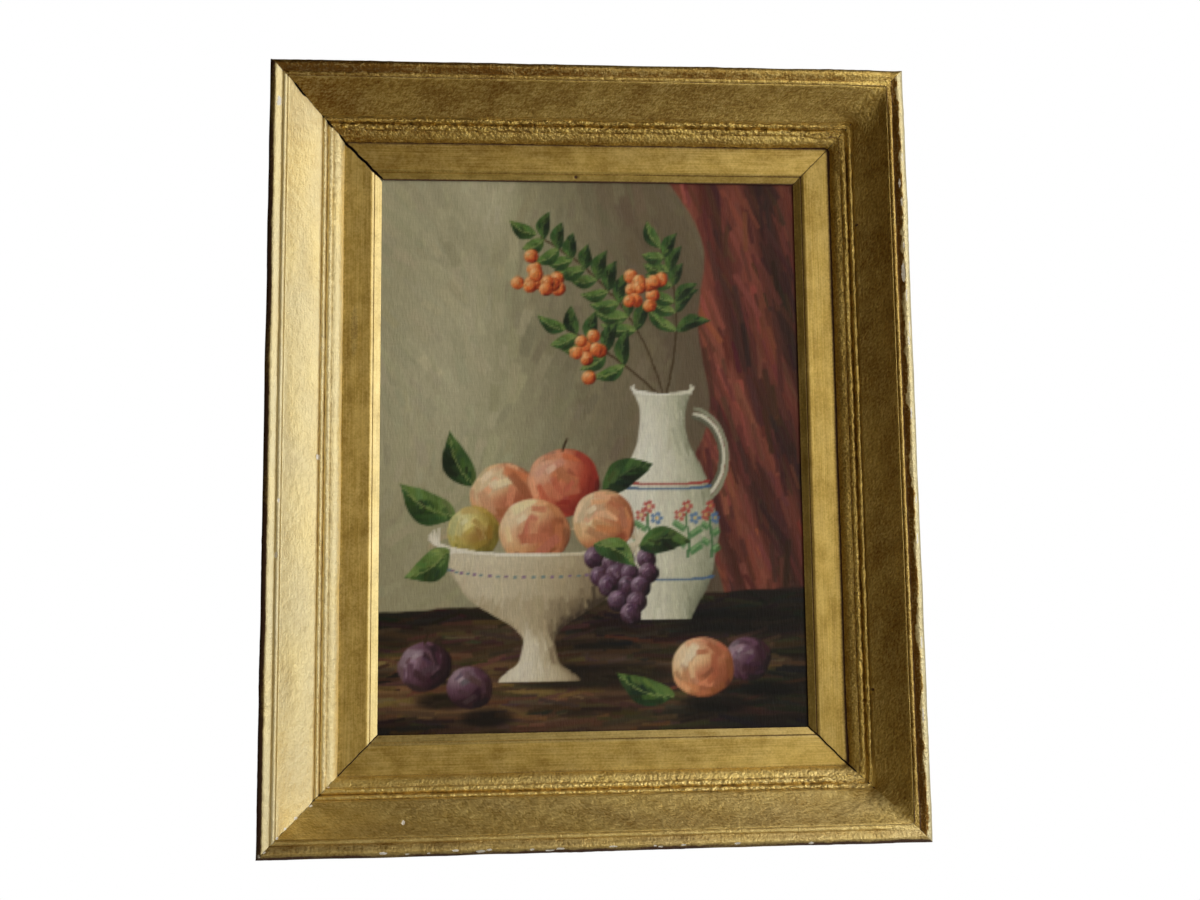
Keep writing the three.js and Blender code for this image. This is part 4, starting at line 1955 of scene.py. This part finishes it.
@dataclass
class PaintedCanvas:
    """Linen stretched over the bars, painted on the front and folded onto their back.

    Attributes:
        half_width: Half the stretched width in mm, read from the CAD canvas.
        half_height: Half the stretched height.
        front: Height of the painted face above the frame's back.
        sight: How far the painted part that shows reaches, as half width and half height.
        cell: Size of a mesh cell where the painting shows.
        fold: Width of the linen folded onto the back of the bars.
        seed: Seed of the brushwork.
    """

    half_width: float
    half_height: float
    front: float
    sight: tuple[float, float] = (131.0, 171.0)
    cell: float = 0.98
    fold: float = 13.0
    seed: int = 23

    def build(self) -> bpy.types.Object:
        easel = Easel(2 * self.half_width, 2 * self.half_height, self.seed)
        StillLife(easel).paint()
        columns = self.grid_lines(self.half_width - 1, self.sight[0])
        rows = self.grid_lines(self.half_height - 1, self.sight[1])
        x, z = np.meshgrid(columns, rows)
        colour, body = self.read(easel, x, z)
        flat = np.stack([x, self.front + body - 0.1, z], axis=-1).reshape(-1, 3)
        number = np.arange(x.size).reshape(x.shape)
        quads = np.stack([number[:-1, :-1], number[:-1, 1:], number[1:, 1:], number[1:, :-1]], axis=-1)
        faces = quads.reshape(-1, 4).tolist()
        border = np.concatenate([number[0, :-1], number[:-1, -1], number[-1, :0:-1], number[:0:-1, 0]])
        materials = [0] * len(faces)
        points = [flat]
        ring = border
        for reach, height, material in self.wrap():
            edge = flat[border][:, [0, 2]] * (
                (self.half_width - 1 + reach) / (self.half_width - 1),
                (self.half_height - 1 + reach) / (self.half_height - 1),
            )
            points.append(np.stack([edge[:, 0], np.full(len(border), height), edge[:, 1]], axis=-1))
            following = np.arange(len(border)) + sum(len(group) for group in points[:-1])
            sides = np.stack([ring, following, np.roll(following, -1), np.roll(ring, -1)], axis=-1)
            faces += sides.tolist()
            materials += [material] * len(border)
            ring = following
        faces.append(ring.tolist())
        materials.append(1)
        bench = np.concatenate(points)
        placed = np.stack([bench[:, 0], -bench[:, 1], bench[:, 2] + FRAME.middle], axis=-1) * MM
        canvas = add_object("painted_canvas", placed, faces, materials)
        extra = len(bench) - x.size
        paint = np.concatenate([linear(colour).reshape(-1, 3), np.tile(linear("#8D7F66"), (extra, 1))])
        paint = np.concatenate([paint, np.ones((len(bench), 1))], axis=-1)
        set_attribute(canvas.data, "paint", "FLOAT_COLOR", paint)
        set_attribute(canvas.data, "bench", "FLOAT_VECTOR", bench[:, [0, 2, 1]])
        set_attribute(canvas.data, "rubbed", "FLOAT", self.rubbing(bench[:, 0], bench[:, 2]))
        canvas.data.materials.append(OilPaintOnLinen("oil_paint_on_linen").build())
        canvas.data.materials.append(RawLinen("raw_linen").build())
        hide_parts("canvas")
        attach(canvas, "root")
        LOG.info("painted_canvas: %d faces", len(canvas.data.polygons))
        return canvas

    def grid_lines(self, half: float, shown: float) -> np.ndarray:
        """Places of the mesh lines, close together where the painting shows."""
        fine = np.linspace(-shown, shown, round(2 * shown / self.cell) + 1)
        return np.concatenate([[-half], fine, [half]])

    def wrap(self) -> list[tuple[float, float, int]]:
        """The rings round the canvas, from the front down the sides, onto the back and inside again.

        Returns:
            For each ring its reach past the front's edge, its height and the material of its faces.
        """
        inner = -(self.fold + 1)
        return [
            (0.7, self.front - 0.3, 0),
            (1.0, self.front - 1.0, 0),
            (1.0, self.front / 2, 0),
            (1.0, 0.9, 0),
            (0.7, 0.2, 0),
            (0.0, 0.05, 0),
            (inner, 0.05, 1),
            (inner, 0.4, 1),
            (0.4, 0.4, 1),
            (0.4, self.front - 0.8, 1),
        ]

    def read(self, easel: Easel, x: np.ndarray, z: np.ndarray) -> tuple[np.ndarray, np.ndarray]:
        """Takes colour and thickness from the easel, averaged over each mesh cell."""
        column = np.clip(np.round((x - easel.left) / easel.CELL).astype(int), 1, easel.x.shape[1] - 2)
        row = np.clip(np.round((z - easel.low) / easel.CELL).astype(int), 1, easel.x.shape[0] - 2)
        near = [(0, 0, 0.4), (1, 0, 0.15), (-1, 0, 0.15), (0, 1, 0.15), (0, -1, 0.15)]
        colour = sum(w * easel.colour[row + i, column + j] for i, j, w in near)
        body = sum(w * easel.body[row + i, column + j] for i, j, w in near)
        return colour, body

    def rubbing(self, x: np.ndarray, z: np.ndarray) -> np.ndarray:
        """How far the paint is rubbed off the threads: a little near the bottom edge."""
        rng = np.random.default_rng(self.seed + 1)
        patches = bumps(rng, x, z, 26, 9)
        return smoothstep(-120, -168, z) * np.clip(0.12 + 0.2 * patches, 0, 0.26)


# ----------------------------------------------------------------------------------------------- stretcher


@dataclass
class Stretcher:
    """The four bars that hold the canvas, kept as the CAD solids with their edges eased."""

    easing: float = 0.5

    def build(self) -> None:
        """Gives each bar its wood and eases its edges."""
        for side in Side:
            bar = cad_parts[f"stretcher_bar_{side.name.lower()}"]
            finish = OldPine(f"stretcher_pine_{side.name.lower()}", along=2 if side.value % 2 else 0)
            material = finish.build()
            if bar.material_slots:
                for slot in bar.material_slots:
                    slot.material = material
            else:
                bar.data.materials.append(material)
            bevel = bar.modifiers.new("eased edges", "BEVEL")
            bevel.width = self.easing * MM
            bevel.segments = 2
            bevel.limit_method = "ANGLE"
            LOG.info("%s dressed", bar.name)


# -------------------------------------------------------------------------------------------------- studio


@dataclass(frozen=True)
class Softbox:
    """A soft square light: its place in metres, side length, power in watts and colour."""

    name: str
    place: tuple[float, float, float]
    size: float
    power: float
    colour: str = "#FFFFFF"


@dataclass
class Studio:
    """Pale floor, white surroundings, soft light mostly from the right, and the camera.

    Attributes:
        softboxes: The lights.
        dim: Colour of the light that comes from all round.
        dim_strength: Its strength.
        floor_drop: How far the floor lies below the object, in metres.
    """

    softboxes: tuple[Softbox, ...] = (
        Softbox("window", (1.45, -0.75, -0.10), 1.2, 12.0, "#E2ECFF"),
        Softbox("window_front", (1.10, -1.40, -0.10), 1.2, 7.0, "#FFF6E0"),
        Softbox("high_right", (1.00, -0.80, 1.00), 1.2, 8.5, "#FFFAF0"),
        Softbox("room", (-0.35, -2.00, 0.00), 1.8, 3.6, "#FFECC8"),
    )
    dim: str = "#C9B79C"
    dim_strength: float = 0.02
    floor_drop: float = 0.35

    def build(self) -> None:
        """Sets up the floor, world, lights and camera."""
        self.world()
        for softbox in self.softboxes:
            self.light(softbox)
        self.floor()
        self.camera()
        bpy.context.scene.view_settings.view_transform = "Standard"

    def world(self) -> None:
        """White to the camera, and a dim warm room to the object."""
        world = bpy.data.worlds.new("studio")
        world.use_nodes = True
        tree = world.node_tree
        tree.nodes.clear()
        seen = add_node(tree, "LightPath")
        room = add_node(tree, "Background", inputs={"Color": self.dim, "Strength": self.dim_strength})
        white = add_node(tree, "Background", inputs={"Color": "#FFFFFF", "Strength": 1.0})
        both = add_node(
            tree,
            "MixShader",
            inputs={0: seen.outputs["Is Camera Ray"], 1: room.outputs[0], 2: white.outputs[0]},
        )
        add_node(tree, "OutputWorld", inputs={"Surface": both.outputs[0]})
        bpy.context.scene.world = world

    def light(self, softbox: Softbox) -> None:
        """Hangs one softbox, turned to the middle of the picture."""
        data = bpy.data.lights.new(softbox.name, "AREA")
        data.size = softbox.size
        data.energy = softbox.power
        data.color = tuple(linear(softbox.colour))
        light = bpy.data.objects.new(softbox.name, data)
        place = Vector(softbox.place)
        target = Vector((0, 0, FRAME.middle * MM))
        turn = (target - place).to_track_quat("-Z", "Y").to_matrix().to_4x4()
        light.matrix_world = Matrix.Translation(place) @ turn
        bpy.context.scene.collection.objects.link(light)

    def floor(self) -> None:
        """A plain pale floor below the object."""
        half_x, near, far = 1.1, -1.2, 0.7
        level = CAD_BOUNDS[0][2] - self.floor_drop
        corners = [(-half_x, near), (half_x, near), (half_x, far), (-half_x, far)]
        points = np.array([(x, y, level) for x, y in corners])
        floor = add_object("floor", points, [[0, 1, 2, 3]], [0])
        material = new_material("pale_floor")
        tree = material.node_tree
        shader = add_node(tree, "BsdfPrincipled", inputs={"Base Color": "#D9D6D0", "Roughness": 0.8})
        add_node(tree, "OutputMaterial", inputs={"Surface": shader.outputs[0]})
        floor.data.materials.append(material)

    def camera(self) -> None:
        """A camera a little left of the middle and below it, looking slightly up and right."""
        data = bpy.data.cameras.new("camera")
        data.sensor_width = 36.0
        data.lens = 36.0
        camera = bpy.data.objects.new("camera", data)
        right = Vector((0.99747, -0.07021, -0.01126))
        up = Vector((0.00365, -0.10764, 0.99418))
        back = right.cross(up)
        turn = Matrix((right, up, back)).transposed().to_4x4()
        camera.matrix_world = Matrix.Translation((-0.04809, -0.7493, -0.29493)) @ turn
        bpy.context.scene.collection.objects.link(camera)
        bpy.context.scene.camera = camera


# ------------------------------------------------------------------------------------------------ the work


def moulding_marks() -> list[Mark]:
    """Wear of the moulding: gesso chips along the right and bottom edges, a rubbed patch and nail holes."""
    chip = Damage.GESSO_CHIP
    marks = [
        Mark(chip, 187.6, 160.0, 1.1, 6.0, 0.1),
        Mark(chip, 188.4, 148.0, 0.9, 6.0, 0.1),
        Mark(chip, 187.8, 104.0, 2.2, 13.0, 0.3),
        Mark(chip, 189.2, 90.0, 1.2, 9.0, 0.2),
        Mark(Damage.RUBBED, -187.0, 206.0, 3.4, 8.0, 0.0),
        Mark(chip, -184.4, -63.3, 2.2, 4.0),
        Mark(chip, -183.3, -32.0, 1.6, 3.0),
        Mark(chip, -164.3, -5.3, 1.8, 3.5),
        Mark(chip, -112.0, -215.3, 2.0, 2.6),
        Mark(Damage.NAIL_HOLE, 165.2, 139.1, 1.9, 1.9, 1.2),
        Mark(Damage.NAIL_HOLE, 165.1, -146.6, 1.9, 1.9, 1.2),
    ]
    rng = np.random.default_rng(5)
    for x in (-122, -109, -97, -82, -68, -63, -39, -29, -23, 7, 31, 34, 47, 78, 121):
        z = -231 + rng.uniform(-0.5, 1.5)
        marks.append(Mark(chip, x, z, rng.uniform(2, 6), rng.uniform(1, 1.8), 0.1))
    for z in (176, 121, 70, 62, 18, -34, -57, -118, -160):
        x = 190 + rng.uniform(-1.5, 1)
        marks.append(Mark(chip, x, z, rng.uniform(0.8, 1.1), rng.uniform(4, 11), 0.1))
    for inset in (2.5, 4.6, 11.5, 15.5, 21.0, 26.8, 36.0):
        nudge = rng.uniform(-0.8, 0.8, 2)
        size = rng.uniform(1.0, 2.2, 2)
        marks.append(Mark(chip, inset - 193 + nudge[0], inset - 233 + nudge[1], size[0], size[1], 0.1))
    return marks


def main() -> None:
    """Builds the framed painting from the wall forward, then the studio."""
    logging.basicConfig(level=logging.INFO, format="%(name)s: %(message)s")
    Stretcher().build()
    low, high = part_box("canvas")
    PaintedCanvas(
        half_width=(high[0] - low[0]) / 2 / MM, half_height=(high[2] - low[2]) / 2 / MM, front=-low[1] / MM
    ).build()
    Liner(
        part="liner_rail",
        slot="liner_gilding",
        finish=BronzePaint(
            "brushed_bronze_on_liner", tarnished="#8C6C2A", streak=(40.0, 0.9), relief=(0.05, 0.15, 0.0)
        ),
        joints={
            Corner.BOTTOM_LEFT: Joint(0.6, dirt=0.6, wander=0.15),
            Corner.TOP_LEFT: Joint(1.7, dirt=0.9, wander=0.35),
            Corner.TOP_RIGHT: Joint(0.3, dirt=0.5),
            Corner.BOTTOM_RIGHT: Joint(0.9, dirt=0.9, wander=0.2),
        },
        marks=[
            Mark(Damage.NICK, -8.9, 172.6, 2.4, 2.0, 0.5), Mark(Damage.SMUDGE, -145.6, 73.8, 5.0, 38.0, 0.0)
        ],
        spacing=1.3,
        seed=301,
    ).build()
    Moulding(
        part="moulding_rail",
        slot="moulding_gilding",
        finish=BronzePaint("bronze_paint_on_moulding"),
        joints={
            Corner.BOTTOM_LEFT: Joint(0.05, gap=0.4, gaps=((27, 31),), dirt=0.35, wander=0.3),
            Corner.TOP_LEFT: Joint(
                0.08, gap=1.3, gaps=((14, 19.5), (31, 34), (38, 41)), dirt=0.45, wander=0.2
            ),
            Corner.TOP_RIGHT: Joint(0.02, filled=20.0, dirt=0.0),
            Corner.BOTTOM_RIGHT: Joint(0.02, gap=0.7, gaps=((36, 41),), filled=18.0, dirt=0.0),
        },
        marks=moulding_marks(),
        spacing=0.85,
        seed=101,
    ).build()
    Studio().build()


if __name__ == "__main__":
    main()
